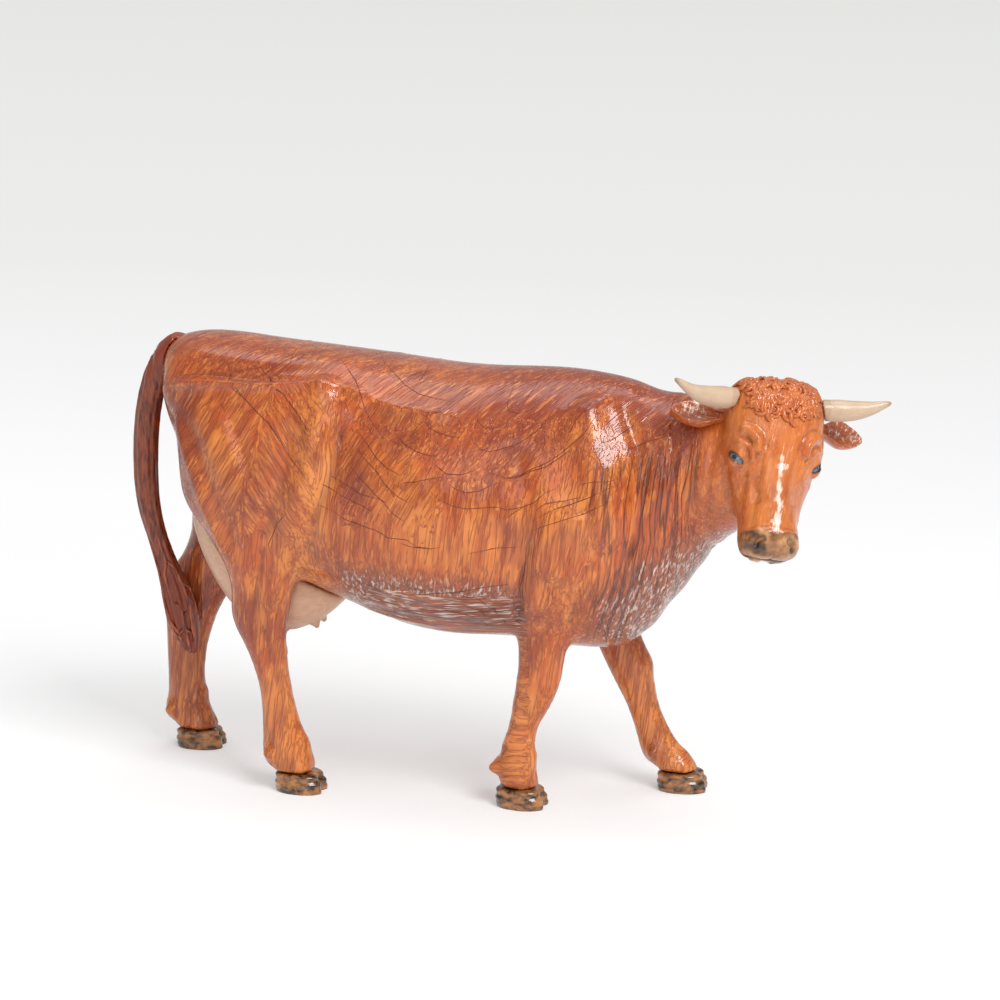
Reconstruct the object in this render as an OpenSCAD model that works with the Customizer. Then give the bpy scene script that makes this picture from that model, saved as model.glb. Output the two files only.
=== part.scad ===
// Standing cow figurine: a hollow moulded body in two shells, with a moulded head, horns, ears, eyes,
// udder and tail, and four legs that are stiffened by steel wires.
// +X points to the cow's front, +Y to its left and +Z up. The soles stand on z = 0.

/* [Body] */
// Length of the trunk, from the pin bones to the brisket
trunk_l = 133; // [110:1:160]
// Height of the back above the floor, at the withers
back_h = 113; // [95:1:135]
// Width of the barrel at its widest
barrel_w = 57; // [48:1:68]
// Wall of the two hollow body shells
shell_wall = 3; // [2:0.5:4.5]

/* [Neck] */
// Reach of the neck, from the brisket to the back of the head
neck_l = 33; // [26:1:40]
// Width of the neck where it leaves the shoulders
neck_w = 37; // [30:1:44]
// Depth of the neck where it leaves the shoulders
neck_d = 56; // [46:1:64]

/* [Head] */
// Length of the head, from the poll to the lips
head_l = 43.5; // [37:0.5:50]
// Width of the head across the brows
head_w = 27; // [23:0.5:32]
// Depth of the head, from the forehead to the jaw
head_d = 24; // [20:0.5:28]
// Turn of the head to the cow's right
head_turn = 64; // [50:1:80]
// Angle between the line of the face and straight down
head_nod = 21; // [12:1:34]
// Lean of the head to one side
head_lean = 10; // [-5:1:15]

/* [Horns] */
// Reach of a horn outwards from the head
horn_l = 16; // [12:0.5:22]
// Thickness of a horn at its root
horn_d = 5.6; // [4:0.2:7.5]

/* [Ears] */
// Length of an ear
ear_l = 15; // [11:0.5:19]
// Width of an ear at its widest
ear_w = 8.4; // [6:0.2:11]
// Thickness of an ear at its back
ear_t = 2.6; // [1.8:0.1:3.6]

/* [Eyes] */
// Diameter of the bead that makes an eye
eye_d = 4.6; // [3.6:0.1:5.8]

/* [Legs] */
// Depth of the heaviest thigh, from front to rear
leg_d = 50; // [42:1:58]
// Width of the heaviest thigh
leg_w = 20; // [16:0.5:24]
// Length of a hoof on the floor
hoof_l = 14; // [11:0.5:17]
// Width of a hoof across its two claws
hoof_w = 11; // [9:0.5:13]
// Height of a hoof at the coronet
hoof_h = 5; // [4:0.25:6.5]
// Diameter of the steel wire in each leg
wire_d = 1.6; // [1:0.1:2.2]

/* [Tail and udder] */
// Height that the tail hangs through
tail_l = 86; // [72:1:100]
// Thickness of the tail below its root
tail_d = 6.8; // [5:0.2:8.5]
// Diameter of the wire in the tail
tail_wire_d = 1.2; // [0.8:0.1:1.8]
// Length of the udder
udder_l = 44; // [36:1:52]
// Width of the udder
udder_w = 24; // [18:0.5:30]
// Length of a teat
teat_l = 3; // [2:0.25:4.5]
// Thickness of a teat
teat_d = 2.2; // [1.6:0.1:3]

/* [Hidden] */

hide_colour = "#b5622c";
rump_colour = "#a0522a";
horn_colour = "#e2cfae";
skin_colour = "#dcbfa2";
hoof_colour = "#3a2a1c";
eye_colour = "#4a5058";
steel_colour = "#8d9094";

// Glue gap round a wire, a tenon or a bead in its hole
seat_gap = 0.05;
// Rings between two rows of a table, and points round a ring
row_steps = 2;
body_points = 28;
leg_points = 18;
head_points = 24;
small_points = 14;
hoof_points = 32;
wire_points = 8;
rod_points = 32;
bead_points = 40;
teat_points = 24;

// Each body row: place along the trunk, lowest, widest and highest level, half width, and how square
// the ring is above and below. Places are shares of trunk_l, levels of back_h and widths of barrel_w.
trunk_shares = [
    [-0.020, 0.880, 0.940, 1.000, 0.080, 1.0, 1.0],
    [-0.008, 0.835, 0.930, 1.028, 0.155, 0.9, 1.0],
    [0.020, 0.765, 0.920, 1.048, 0.235, 0.85, 1.0],
    [0.065, 0.660, 0.885, 1.056, 0.300, 0.85, 1.0],
    [0.130, 0.570, 0.840, 1.053, 0.350, 0.85, 1.0],
    [0.205, 0.505, 0.795, 1.043, 0.385, 0.85, 1.0],
    [0.280, 0.470, 0.745, 1.036, 0.410, 0.82, 0.95],
    [0.370, 0.435, 0.700, 1.027, 0.440, 0.82, 0.92],
    [0.460, 0.400, 0.665, 1.018, 0.475, 0.85, 0.92],
    [0.565, 0.380, 0.640, 1.006, 0.500, 0.88, 0.92],
    [0.655, 0.382, 0.640, 1.005, 0.490, 0.92, 0.92],
    [0.730, 0.381, 0.650, 1.010, 0.460, 0.98, 0.92],
    [0.805, 0.367, 0.665, 1.010, 0.435, 1.02, 0.92],
    [0.880, 0.366, 0.690, 0.999, 0.400, 1.02, 0.95],
    [0.932, 0.387, 0.708, 0.986, 0.355, 1.0, 0.95]
];
// Forms on each side of the trunk: place, level, reach along and up, and how far one stands out, or
// lies in where that is negative. Places and reach along are shares of trunk_l, levels and reach up of
// back_h, and the last of barrel_w. In turn: flank hollow, hollow of the loin, shelf of the loin, hook
// bone, dip behind the shoulder and dip in front of it.
side_shares = [
    [0.400, 0.760, 0.042, 0.160, -0.034],
    [0.480, 0.870, 0.080, 0.040, -0.014],
    [0.560, 0.930, 0.200, 0.028, 0.014],
    [0.295, 0.965, 0.050, 0.035, 0.022],
    [0.712, 0.720, 0.036, 0.160, -0.019],
    [0.955, 0.780, 0.036, 0.150, -0.022]
];
// Each neck row: reach forwards, sideways and level of its centre, turn, rise, half width, height above
// and depth below the centre. Reaches are shares of neck_l, levels of back_h, the rest of the neck.
neck_shares = [
    [0.22, -0.015, 0.735, -5, 8, 0.485, 0.475, 0.478],
    [0.48, -0.060, 0.770, -12, 14, 0.415, 0.410, 0.315],
    [0.76, -0.136, 0.803, -22, 17, 0.365, 0.352, 0.262],
    [1.00, -0.225, 0.828, -33, 18, 0.325, 0.295, 0.225]
];
// Each head row: place down the face, front, widest and back level, half width and squareness.
// Places are shares of head_l, levels of head_d behind the line of the face, widths of head_w.
head_shares = [
    [-0.055, -0.330, -0.44, -0.54, 0.15, 1.0],
    [-0.036, -0.220, -0.44, -0.66, 0.31, 1.0],
    [0.020, -0.070, -0.42, -0.80, 0.43, 0.9],
    [0.105, 0.000, -0.38, -0.90, 0.465, 0.85],
    [0.230, 0.015, -0.38, -0.97, 0.475, 0.9],
    [0.355, 0.020, -0.40, -1.00, 0.495, 0.95],
    [0.450, 0.010, -0.44, -1.00, 0.460, 1.0],
    [0.550, 0.000, -0.48, -0.96, 0.385, 1.0],
    [0.660, -0.005, -0.46, -0.86, 0.315, 1.0],
    [0.770, -0.005, -0.38, -0.70, 0.266, 0.95],
    [0.860, 0.010, -0.31, -0.60, 0.282, 0.85],
    [0.930, -0.005, -0.28, -0.54, 0.285, 0.85],
    [0.980, -0.070, -0.28, -0.48, 0.250, 0.9],
    [1.005, -0.170, -0.28, -0.39, 0.140, 1.0]
];
// Where the poll is: reach and side from the neck's root as shares of neck_l, and height above the
// middle of the neck's last row as a share of neck_d
poll_shares = [1.190, -0.364, 0.3895];

// Each leg row: level, place along the trunk, side, half depth and half width.
// Levels are shares of back_h, places of trunk_l, sides of barrel_w, depths of leg_d, widths of leg_w.
// The last row of a leg stands on its hoof.
hind_right_shares = [
    [0.950, 0.200, 0.195, 0.250, 0.22],
    [0.920, 0.200, 0.210, 0.390, 0.36],
    [0.850, 0.200, 0.222, 0.465, 0.47],
    [0.760, 0.194, 0.225, 0.440, 0.50],
    [0.680, 0.180, 0.225, 0.385, 0.47],
    [0.610, 0.190, 0.230, 0.300, 0.41],
    [0.540, 0.200, 0.235, 0.220, 0.35],
    [0.480, 0.200, 0.238, 0.172, 0.28],
    [0.430, 0.195, 0.240, 0.164, 0.235],
    [0.385, 0.196, 0.240, 0.143, 0.215],
    [0.330, 0.208, 0.243, 0.110, 0.185],
    [0.250, 0.224, 0.245, 0.091, 0.170],
    [0.170, 0.235, 0.246, 0.104, 0.175],
    [0.110, 0.245, 0.246, 0.130, 0.210],
    [0.070, 0.251, 0.246, 0.142, 0.235],
    [0.000, 0.262, 0.246, 0.118, 0.225]
];
hind_left_shares = [
    [0.950, 0.145, 0.195, 0.250, 0.22],
    [0.920, 0.140, 0.210, 0.380, 0.36],
    [0.850, 0.130, 0.222, 0.430, 0.45],
    [0.760, 0.115, 0.225, 0.400, 0.47],
    [0.680, 0.104, 0.228, 0.310, 0.44],
    [0.610, 0.082, 0.235, 0.255, 0.38],
    [0.540, 0.063, 0.245, 0.218, 0.32],
    [0.480, 0.040, 0.252, 0.215, 0.27],
    [0.420, 0.000, 0.258, 0.205, 0.235],
    [0.365, -0.018, 0.260, 0.172, 0.215],
    [0.300, -0.030, 0.262, 0.136, 0.185],
    [0.220, -0.038, 0.264, 0.112, 0.170],
    [0.150, -0.038, 0.264, 0.110, 0.175],
    [0.100, -0.037, 0.264, 0.130, 0.210],
    [0.070, -0.030, 0.264, 0.145, 0.235],
    [0.000, -0.012, 0.264, 0.118, 0.225]
];
front_right_shares = [
    [0.870, 0.830, 0.210, 0.100, 0.16],
    [0.840, 0.832, 0.240, 0.180, 0.30],
    [0.780, 0.828, 0.262, 0.250, 0.40],
    [0.710, 0.822, 0.280, 0.280, 0.44],
    [0.650, 0.812, 0.284, 0.285, 0.45],
    [0.580, 0.795, 0.296, 0.260, 0.41],
    [0.500, 0.780, 0.276, 0.205, 0.34],
    [0.430, 0.770, 0.228, 0.155, 0.26],
    [0.365, 0.760, 0.218, 0.127, 0.215],
    [0.315, 0.756, 0.212, 0.122, 0.215],
    [0.250, 0.742, 0.210, 0.108, 0.195],
    [0.190, 0.724, 0.210, 0.082, 0.165],
    [0.140, 0.712, 0.210, 0.092, 0.175],
    [0.095, 0.706, 0.210, 0.120, 0.210],
    [0.070, 0.710, 0.210, 0.112, 0.230],
    [0.000, 0.718, 0.210, 0.110, 0.225]
];
front_left_shares = [
    [0.870, 0.830, 0.210, 0.100, 0.16],
    [0.840, 0.832, 0.240, 0.180, 0.30],
    [0.780, 0.830, 0.262, 0.240, 0.40],
    [0.710, 0.832, 0.280, 0.260, 0.43],
    [0.650, 0.836, 0.278, 0.260, 0.43],
    [0.580, 0.845, 0.288, 0.235, 0.39],
    [0.500, 0.850, 0.262, 0.190, 0.33],
    [0.430, 0.854, 0.218, 0.155, 0.26],
    [0.365, 0.869, 0.205, 0.133, 0.225],
    [0.305, 0.892, 0.200, 0.132, 0.215],
    [0.250, 0.908, 0.196, 0.110, 0.190],
    [0.190, 0.927, 0.194, 0.090, 0.165],
    [0.130, 0.948, 0.193, 0.100, 0.175],
    [0.085, 0.968, 0.193, 0.124, 0.210],
    [0.062, 0.985, 0.193, 0.132, 0.235],
    [0.000, 1.000, 0.193, 0.112, 0.225]
];
// Places of the lower and upper end of each leg wire: along the trunk, side and level
wire_hind_right_shares = [[0.262, 0.245, 0.060], [0.143, 0.225, 0.750]];
wire_hind_left_shares = [[-0.027, 0.263, 0.060], [0.010, 0.245, 0.550]];
wire_front_right_shares = [[0.723, 0.212, 0.060], [0.815, 0.262, 0.800]];
wire_front_left_shares = [[0.966, 0.195, 0.060], [0.812, 0.245, 0.660]];

// Each hoof: place of its middle along the trunk, side, and turn outwards in degrees
hoof_hind_right_shares = [0.276, 0.246, 4];
hoof_hind_left_shares = [-0.008, 0.264, 4];
hoof_front_right_shares = [0.722, 0.210, 4];
hoof_front_left_shares = [1.008, 0.193, 4];
// Each hoof row: level as a share of hoof_h, length and width as shares of the sole, and set back
hoof_shares = [[0, 0.97, 0.97, 0], [0.25, 1, 1, 0.01], [0.6, 0.95, 0.95, 0.03], [1, 0.86, 0.86, 0.065]];
hoof_square = 0.85;
// How deep the cleft between the claws goes, in front and behind, and how wide it is in degrees
cleft_shares = [0.26, 0.12];
cleft_angle = 11;

// Each tail row: place behind the pins and side as shares of tail_l, drop from the root as a share of
// tail_l, then half depth and half width as shares of tail_d
tail_shares = [
    [0.075, 0.000, -0.008, 0.50, 0.60],
    [0.000, 0.000, 0.008, 0.56, 0.62],
    [-0.052, 0.004, 0.066, 0.52, 0.52],
    [-0.094, 0.010, 0.165, 0.50, 0.48],
    [-0.115, 0.016, 0.290, 0.50, 0.46],
    [-0.123, 0.024, 0.430, 0.49, 0.44],
    [-0.116, 0.036, 0.545, 0.44, 0.40],
    [-0.095, 0.051, 0.640, 0.38, 0.36],
    [-0.066, 0.064, 0.740, 0.43, 0.38],
    [-0.044, 0.073, 0.835, 0.56, 0.46],
    [-0.024, 0.080, 0.930, 0.52, 0.42],
    [-0.008, 0.084, 1.005, 0.20, 0.20]
];
// Level of the tail's root as a share of back_h
tail_root_share = 1.020;
// First and last row of the tail that its wire runs through
tail_wire_rows = [1, 8];

// Each udder row: place as a share of udder_l ahead of the pins, lowest and highest level as shares of
// back_h, and half width as a share of udder_w
udder_shares = [
    [0.080, 0.590, 0.660, 0.10],
    [0.140, 0.520, 0.720, 0.24],
    [0.240, 0.446, 0.720, 0.36],
    [0.380, 0.380, 0.690, 0.44],
    [0.550, 0.352, 0.620, 0.48],
    [0.720, 0.352, 0.560, 0.48],
    [0.890, 0.382, 0.530, 0.40],
    [1.010, 0.424, 0.490, 0.26],
    [1.080, 0.450, 0.468, 0.08]
];
// Places of the teats, as shares of udder_l and udder_w
teat_shares = [[0.46, 0.19], [0.66, 0.19]];
teat_top_share = 0.375;

// Horn path from its root: outwards, down the face and out of it as shares of horn_l, then half
// thickness as a share of horn_d
horn_shares = [
    [-0.18, 0.00, -0.02, 0.50],
    [0.10, 0.01, 0.02, 0.49],
    [0.35, 0.02, 0.08, 0.44],
    [0.60, 0.01, 0.17, 0.36],
    [0.82, -0.025, 0.25, 0.26],
    [0.96, -0.06, 0.30, 0.16],
    [1.00, -0.075, 0.31, 0.07]
];
// Horn root on the head: down the face, to the side and behind the face, and each horn's tilt there
horn_root_shares = [0.098, 0.45, -0.27];
horn_right_tilt = -3;
horn_left_tilt = 6;
// Tenon of a horn: thickness as a share of horn_d and depth into the head as a share of head_w
horn_tenon_share = 0.5;
horn_tenon_depth_share = 0.16;
// How far the tenon runs on inside the horn, as a share of horn_l
horn_tenon_reach_share = 0.2;

// Ear outline from its root: along the ear, half width and cup depth as shares of the ear's sizes
ear_shares = [
    [-0.10, 0.22, 0.45],
    [0.08, 0.30, 0.50],
    [0.28, 0.45, 0.48],
    [0.50, 0.50, 0.44],
    [0.72, 0.42, 0.34],
    [0.90, 0.24, 0.18],
    [1.00, 0.06, 0.05]
];
// Depth of the hollow in an ear and height of the lip round it, as shares of ear_t
ear_cup_share = 2.0;
ear_lip_share = 0.7;
ear_root_shares = [0.178, 0.42, -0.38];
// Turn of each ear: droop, sweep backwards and roll of its cup
ear_right_pose = [-2, 18, -35];
ear_left_pose = [6, 18, -25];
// Eye centre on the head: down the face, to the side and behind the face
eye_shares = [0.448, 0.372, -0.225];

// The frame's origin lies under the middle of the whole figurine
origin_shares = [0.6529, -0.0048];

module placed() {
    translate([-origin_shares[0] * trunk_l, -origin_shares[1] * barrel_w, 0]) children();
}

// A smooth row between the rows of a table, by Catmull and Rom's cubic
function row_near(rows, i) = rows[max(0, min(i, len(rows) - 1))];
function cubic(a, b, c, d, t) =
    0.5 * (2 * b + (c - a) * t + (2 * a - 5 * b + 4 * c - d) * t * t + (3 * b - a - 3 * c + d) * t * t * t);
function row_between(rows, s) =
    let (i = min(floor(s), len(rows) - 2))
    cubic(row_near(rows, i - 1), rows[i], rows[i + 1], row_near(rows, i + 2), s - i);
function smooth_rows(rows, steps) = [for (i = [0 : (len(rows) - 1) * steps]) row_between(rows, i / steps)];

// A ring lies square to its turn and rise, and bulges by its own squareness above and below
function bulge(v, square) = sign(v) * pow(abs(v), square);
function sideways(turn) = [-sin(turn), cos(turn), 0];
function upwards(turn, rise) = [-sin(rise) * cos(turn), -sin(rise) * sin(turn), cos(rise)];
// How far the forms on the side of the trunk stand out at a place and level
function total(list) = list * [for (v = list) 1];
function swell(reach) = exp(-reach * reach);
function side_form(x, z) = barrel_w * total([for (f = side_shares)
    f[4] * swell((x / trunk_l - f[0]) / f[2]) * swell((z / back_h - f[1]) / f[3])]);
// A body ring: centre, turn, rise, half width, height above, depth below, squareness above and below
function body_point(r, a, inset) =
    let (
        above = sin(a) >= 0,
        square = above ? r[8] : r[9],
        p = [r[0], r[1], r[2]] + upwards(r[3], r[4]) * ((above ? r[6] : r[7]) - inset) * bulge(sin(a), square)
    )
    p + sideways(r[3]) * ((r[5] - inset) * bulge(cos(a), square) + side_form(r[0], p[2]) * cos(a));
function body_ring(r, points, inset) = [for (i = [0 : points - 1]) body_point(r, 360 * i / points, inset)];
function half_ring(r, side, points) =
    [for (i = [0 : points]) body_point(r, 90 - side * 180 * i / points, 0)];

// A closed skin over rings that have the same number of points. Rings that run the other way round
// are turned, so that both halves of a form share one parting surface.
module loft(rings, turned = false) {
    n = len(rings[0]);
    m = len(rings);
    faces = concat(
        [[for (i = [0 : n - 1]) i]],
        [[for (i = [n - 1 : -1 : 0]) (m - 1) * n + i]],
        [for (k = [1 : m - 1]) for (i = [0 : n - 1]) [(k - 1) * n + i, k * n + i, k * n + (i + 1) % n]],
        [for (k = [1 : m - 1]) for (i = [0 : n - 1])
            [(k - 1) * n + i, k * n + (i + 1) % n, (k - 1) * n + (i + 1) % n]]
    );
    polyhedron(
        points = [for (r = rings) for (p = r) p],
        faces = turned ? [for (f = faces) [for (j = [len(f) - 1 : -1 : 0]) f[j]]] : faces,
        convexity = 6
    );
}

module rod(a, b, d) {
    v = b - a;
    translate(a) rotate([0, acos(v[2] / norm(v)), atan2(v[1], v[0])])
        cylinder(h = norm(v), d = d, $fn = rod_points);
}

function trunk_row(s) = [
    s[0] * trunk_l, 0, s[2] * back_h, 0, 0, s[4] * barrel_w, (s[3] - s[2]) * back_h, (s[2] - s[1]) * back_h,
    s[5], s[6]
];
neck_root = trunk_shares[len(trunk_shares) - 1][0] * trunk_l;
function neck_row(s) = [
    neck_root + s[0] * neck_l, s[1] * neck_l, s[2] * back_h, s[3], s[4], s[5] * neck_w, s[6] * neck_d,
    s[7] * neck_d, 1, 1
];
body_rows = smooth_rows(
    concat([for (s = trunk_shares) trunk_row(s)], [for (s = neck_shares) neck_row(s)]), row_steps);
// The cavity starts and ends a few rings inside the skin
cavity_first = 5;
cavity_last = len(body_rows) - 3;

module body_form() {
    loft([for (r = body_rows) body_ring(r, body_points, 0)]);
}

module cavity() {
    loft([for (k = [cavity_first : cavity_last]) body_ring(body_rows[k], body_points / 2, shell_wall)]);
}

// One half of the hollow body. The halves meet along the middle of the back and belly.
module body_half(side, leg_front, leg_hind) {
    difference() {
        loft([for (r = body_rows) half_ring(r, side, body_points / 2)], side > 0);
        cavity();
        leg_form(leg_front);
        leg_form(leg_hind);
    }
}

module body_shell_right() {
    color(hide_colour) placed() body_half(-1, front_right_rows, hind_right_rows);
}

module body_shell_left() {
    color(hide_colour) placed() body_half(1, front_left_rows, hind_left_rows);
}

// Leg rows in real sizes: centre, half depth and half width. The side is +1 on the left.
function leg_rows(shares, side) = smooth_rows([for (s = shares) [
    s[1] * trunk_l, side * s[2] * barrel_w, max(s[0] * back_h, hoof_h), s[3] * leg_d, s[4] * leg_w
]], row_steps);
front_right_rows = leg_rows(front_right_shares, -1);
front_left_rows = leg_rows(front_left_shares, 1);
hind_right_rows = leg_rows(hind_right_shares, -1);
hind_left_rows = leg_rows(hind_left_shares, 1);

module leg_form(rows) {
    loft([for (r = rows) [for (i = [0 : leg_points - 1])
        let (a = -360 * i / leg_points)
        [r[0] + r[3] * cos(a), r[1] + r[4] * sin(a), r[2]]]]);
}

function wire_end(shares, side) = [shares[0] * trunk_l, side * shares[1] * barrel_w, shares[2] * back_h];

module leg_wire_form(ends, side, gap) {
    a = wire_end(ends[0], side);
    b = wire_end(ends[1], side);
    along = (b - a) / norm(b - a);
    rod(a - along * gap, b + along * gap, wire_d + 2 * gap);
}

module leg(rows, ends, side) {
    color(hide_colour) placed() difference() {
        leg_form(rows);
        leg_wire_form(ends, side, seat_gap);
    }
}

module leg_front_right() { leg(front_right_rows, wire_front_right_shares, -1); }
module leg_front_left() { leg(front_left_rows, wire_front_left_shares, 1); }
module leg_hind_right() { leg(hind_right_rows, wire_hind_right_shares, -1); }
module leg_hind_left() { leg(hind_left_rows, wire_hind_left_shares, 1); }

// A ring round a path: it stands square to the way the path goes, with its width towards a chosen side
function unit(v) = v / norm(v);
function way(points, i) = unit(points[min(i + 1, len(points) - 1)] - points[max(i - 1, 0)]);
function sweep_ring(centre, along, towards, half_w, half_t, points) =
    let (over = unit(cross(along, towards)), across = cross(over, along))
    [for (i = [0 : points - 1])
        let (a = 360 * i / points)
        centre + across * half_w * cos(a) + over * half_t * sin(a)];

// A hoof: its outline is cleft in front and behind, and it narrows from the sole to the coronet
function cleft_near(off) = exp(-pow(off / cleft_angle, 2));
function hoof_outline(l, w) = [for (i = [0 : hoof_points - 1])
    let (a = 360 * i / hoof_points)
    let (cleft = 1 - cleft_shares[0] * cleft_near(min(a, 360 - a)) - cleft_shares[1] * cleft_near(a - 180))
    [l / 2 * bulge(cos(a), hoof_square) * cleft, w / 2 * bulge(sin(a), hoof_square)]];
module hoof_form() {
    loft([for (s = hoof_shares) [for (p = hoof_outline(hoof_l * s[1], hoof_w * s[2]))
        [p[0] - s[3] * hoof_l, p[1], s[0] * hoof_h]]]);
}

module hoof(shares, side) {
    color(hoof_colour) placed() translate([shares[0] * trunk_l, side * shares[1] * barrel_w, 0])
        rotate([0, 0, side * shares[2]]) hoof_form();
}

module hoof_front_right() { hoof(hoof_front_right_shares, -1); }
module hoof_front_left() { hoof(hoof_front_left_shares, 1); }
module hoof_hind_right() { hoof(hoof_hind_right_shares, -1); }
module hoof_hind_left() { hoof(hoof_hind_left_shares, 1); }

module leg_wire(ends, side) {
    color(steel_colour) placed() leg_wire_form(ends, side, 0);
}

module leg_wire_front_right() { leg_wire(wire_front_right_shares, -1); }
module leg_wire_front_left() { leg_wire(wire_front_left_shares, 1); }
module leg_wire_hind_right() { leg_wire(wire_hind_right_shares, -1); }
module leg_wire_hind_left() { leg_wire(wire_hind_left_shares, 1); }

// The tail hangs behind the pins and rests against the left hind leg
tail_rows = smooth_rows([for (s = tail_shares) [
    s[0] * tail_l, s[1] * tail_l, tail_root_share * back_h - s[2] * tail_l, s[3] * tail_d, s[4] * tail_d
]], row_steps);
tail_path = [for (r = tail_rows) [r[0], r[1], r[2]]];
function tail_ring(i, half_w, half_t, points) =
    sweep_ring(tail_path[i], way(tail_path, i), [0, 1, 0], half_w, half_t, points);
module tail_form() {
    loft([for (i = [0 : len(tail_rows) - 1]) tail_ring(i, tail_rows[i][4], tail_rows[i][3], small_points)]);
}

module tail_wire_form(gap) {
    half = tail_wire_d / 2 + gap;
    loft([for (i = [tail_wire_rows[0] * row_steps : tail_wire_rows[1] * row_steps])
        tail_ring(i, half, half, wire_points)]);
}

module tail() {
    color(rump_colour) placed() difference() {
        tail_form();
        body_form();
        leg_form(hind_left_rows);
        tail_wire_form(seat_gap);
    }
}

module tail_wire() {
    color(steel_colour) placed() tail_wire_form(0);
}

// The udder hangs below the belly, between the thighs
udder_rows = smooth_rows([for (s = udder_shares) [
    s[0] * udder_l, 0, (s[1] + s[2]) * back_h / 2, 0, 0, s[3] * udder_w, (s[2] - s[1]) * back_h / 2,
    (s[2] - s[1]) * back_h / 2, 1, 1
]], row_steps);
module udder_form() {
    loft([for (r = udder_rows) body_ring(r, leg_points, 0)]);
}

module teats() {
    for (s = teat_shares) for (side = [-1, 1]) {
        translate([s[0] * udder_l, side * s[1] * udder_w, teat_top_share * back_h]) {
            translate([0, 0, -teat_l]) cylinder(h = 2 * teat_l, d = teat_d, $fn = teat_points);
            translate([0, 0, -teat_l]) sphere(d = teat_d, $fn = teat_points);
        }
    }
}

module udder() {
    color(skin_colour) placed() difference() {
        union() {
            udder_form();
            teats();
        }
        body_form();
        leg_form(hind_right_rows);
        leg_form(hind_left_rows);
    }
}

// On the head, x points out of the face, y to the cow's left and z up the face from the poll
neck_end_level = neck_shares[len(neck_shares) - 1][2] * back_h;
poll = [
    neck_root + poll_shares[0] * neck_l, poll_shares[1] * neck_l, neck_end_level + poll_shares[2] * neck_d
];
module on_head() {
    translate(poll)
        rotate([0, 0, -head_turn]) rotate([-head_lean, 0, 0]) rotate([0, -head_nod, 0]) children();
}

module on_side(side) {
    if (side < 0) mirror([0, 1, 0]) children();
    else children();
}

function on_face(s) = [s[2] * head_d, s[1] * head_w, -s[0] * head_l];

head_rows = smooth_rows([for (s = head_shares) [
    s[2] * head_d, 0, -s[0] * head_l, 0, -90, s[4] * head_w, (s[1] - s[2]) * head_d, (s[2] - s[3]) * head_d,
    s[5], s[5]
]], row_steps);
module head_form() {
    loft([for (r = head_rows) body_ring(r, head_points, 0)]);
}

// A horn is made along y from its root, and tilts up or down there
module on_horn(side) {
    translate(on_face(horn_root_shares))
        rotate([side < 0 ? horn_right_tilt : horn_left_tilt, 0, 0]) children();
}

horn_tenon_l = horn_tenon_depth_share * head_w;
module horn_tenon(side, gap) {
    on_horn(side) translate([0, -horn_tenon_l - gap, 0]) rotate([-90, 0, 0])
        cylinder(
            h = horn_tenon_l + gap + horn_tenon_reach_share * horn_l,
            d = horn_tenon_share * horn_d + 2 * gap,
            $fn = rod_points
        );
}

horn_rows = smooth_rows([for (s = horn_shares) [
    s[2] * horn_l, s[0] * horn_l, -s[1] * horn_l, s[3] * horn_d
]], row_steps);
horn_path = [for (r = horn_rows) [r[0], r[1], r[2]]];
function horn_ring(i, half) =
    sweep_ring(horn_path[i], way(horn_path, i), [1, 0, 0], half, half, small_points);
module horn_form(side) {
    on_horn(side) loft([for (i = [0 : len(horn_rows) - 1]) horn_ring(i, horn_rows[i][3])]);
}

module horn(side) {
    color(horn_colour) placed() on_head() on_side(side) union() {
        difference() {
            horn_form(side);
            head_form();
        }
        horn_tenon(side, 0);
    }
}

module horn_right() { horn(-1); }
module horn_left() { horn(1); }

// An ear is a leaf with a hollow front. It is made along y, with its hollow towards x.
ear_rows = smooth_rows([for (s = ear_shares) [s[0] * ear_l, s[1] * ear_w, s[2]]], row_steps);
function ear_depth(v, cup) =
    ear_t * (v < 0 ? (cup + 1) * v : ear_lip_share * v - (cup + ear_lip_share) * v * v);
module ear_form() {
    loft([for (r = ear_rows) [for (i = [0 : small_points - 1])
        let (a = 360 * i / small_points)
        [ear_depth(sin(a), r[2] * ear_cup_share), r[0], r[1] * cos(a)]]]);
}

module on_ear(pose, side) {
    on_head() on_side(side) translate(on_face(ear_root_shares))
        rotate([-pose[0], 0, 0]) rotate([0, 0, pose[1]]) rotate([0, pose[2], 0]) children();
}

module ear(pose, side) {
    color(hide_colour) placed() difference() {
        on_ear(pose, side) ear_form();
        on_head() head_form();
        body_form();
    }
}

module ear_right() { ear(ear_right_pose, -1); }
module ear_left() { ear(ear_left_pose, 1); }

module eye_bead(side, gap) {
    on_head() on_side(side) translate(on_face(eye_shares)) sphere(d = eye_d + 2 * gap, $fn = bead_points);
}

module eye(side) {
    color(eye_colour) placed() eye_bead(side, 0);
}

module eye_right() { eye(-1); }
module eye_left() { eye(1); }

module head() {
    color(hide_colour) placed() difference() {
        on_head() head_form();
        body_form();
        for (side = [-1, 1]) {
            on_head() on_side(side) horn_tenon(side, seat_gap);
            eye_bead(side, seat_gap);
        }
    }
}

body_shell_right();
body_shell_left();
head();
horn_right();
horn_left();
ear_right();
ear_left();
eye_right();
eye_left();
udder();
tail();
tail_wire();
leg_front_right();
leg_front_left();
leg_hind_right();
leg_hind_left();
hoof_front_right();
hoof_front_left();
hoof_hind_right();
hoof_hind_left();
leg_wire_front_right();
leg_wire_front_left();
leg_wire_hind_right();
leg_wire_hind_left();
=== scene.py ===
"""Dresses the cow figurine: hand-painted, varnished hide over moulded forms, on a pale studio floor."""

import math
from functools import partial

import bmesh
import bpy
import numpy as np
from mathutils import Matrix, Vector
from mathutils.bvhtree import BVHTree


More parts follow.
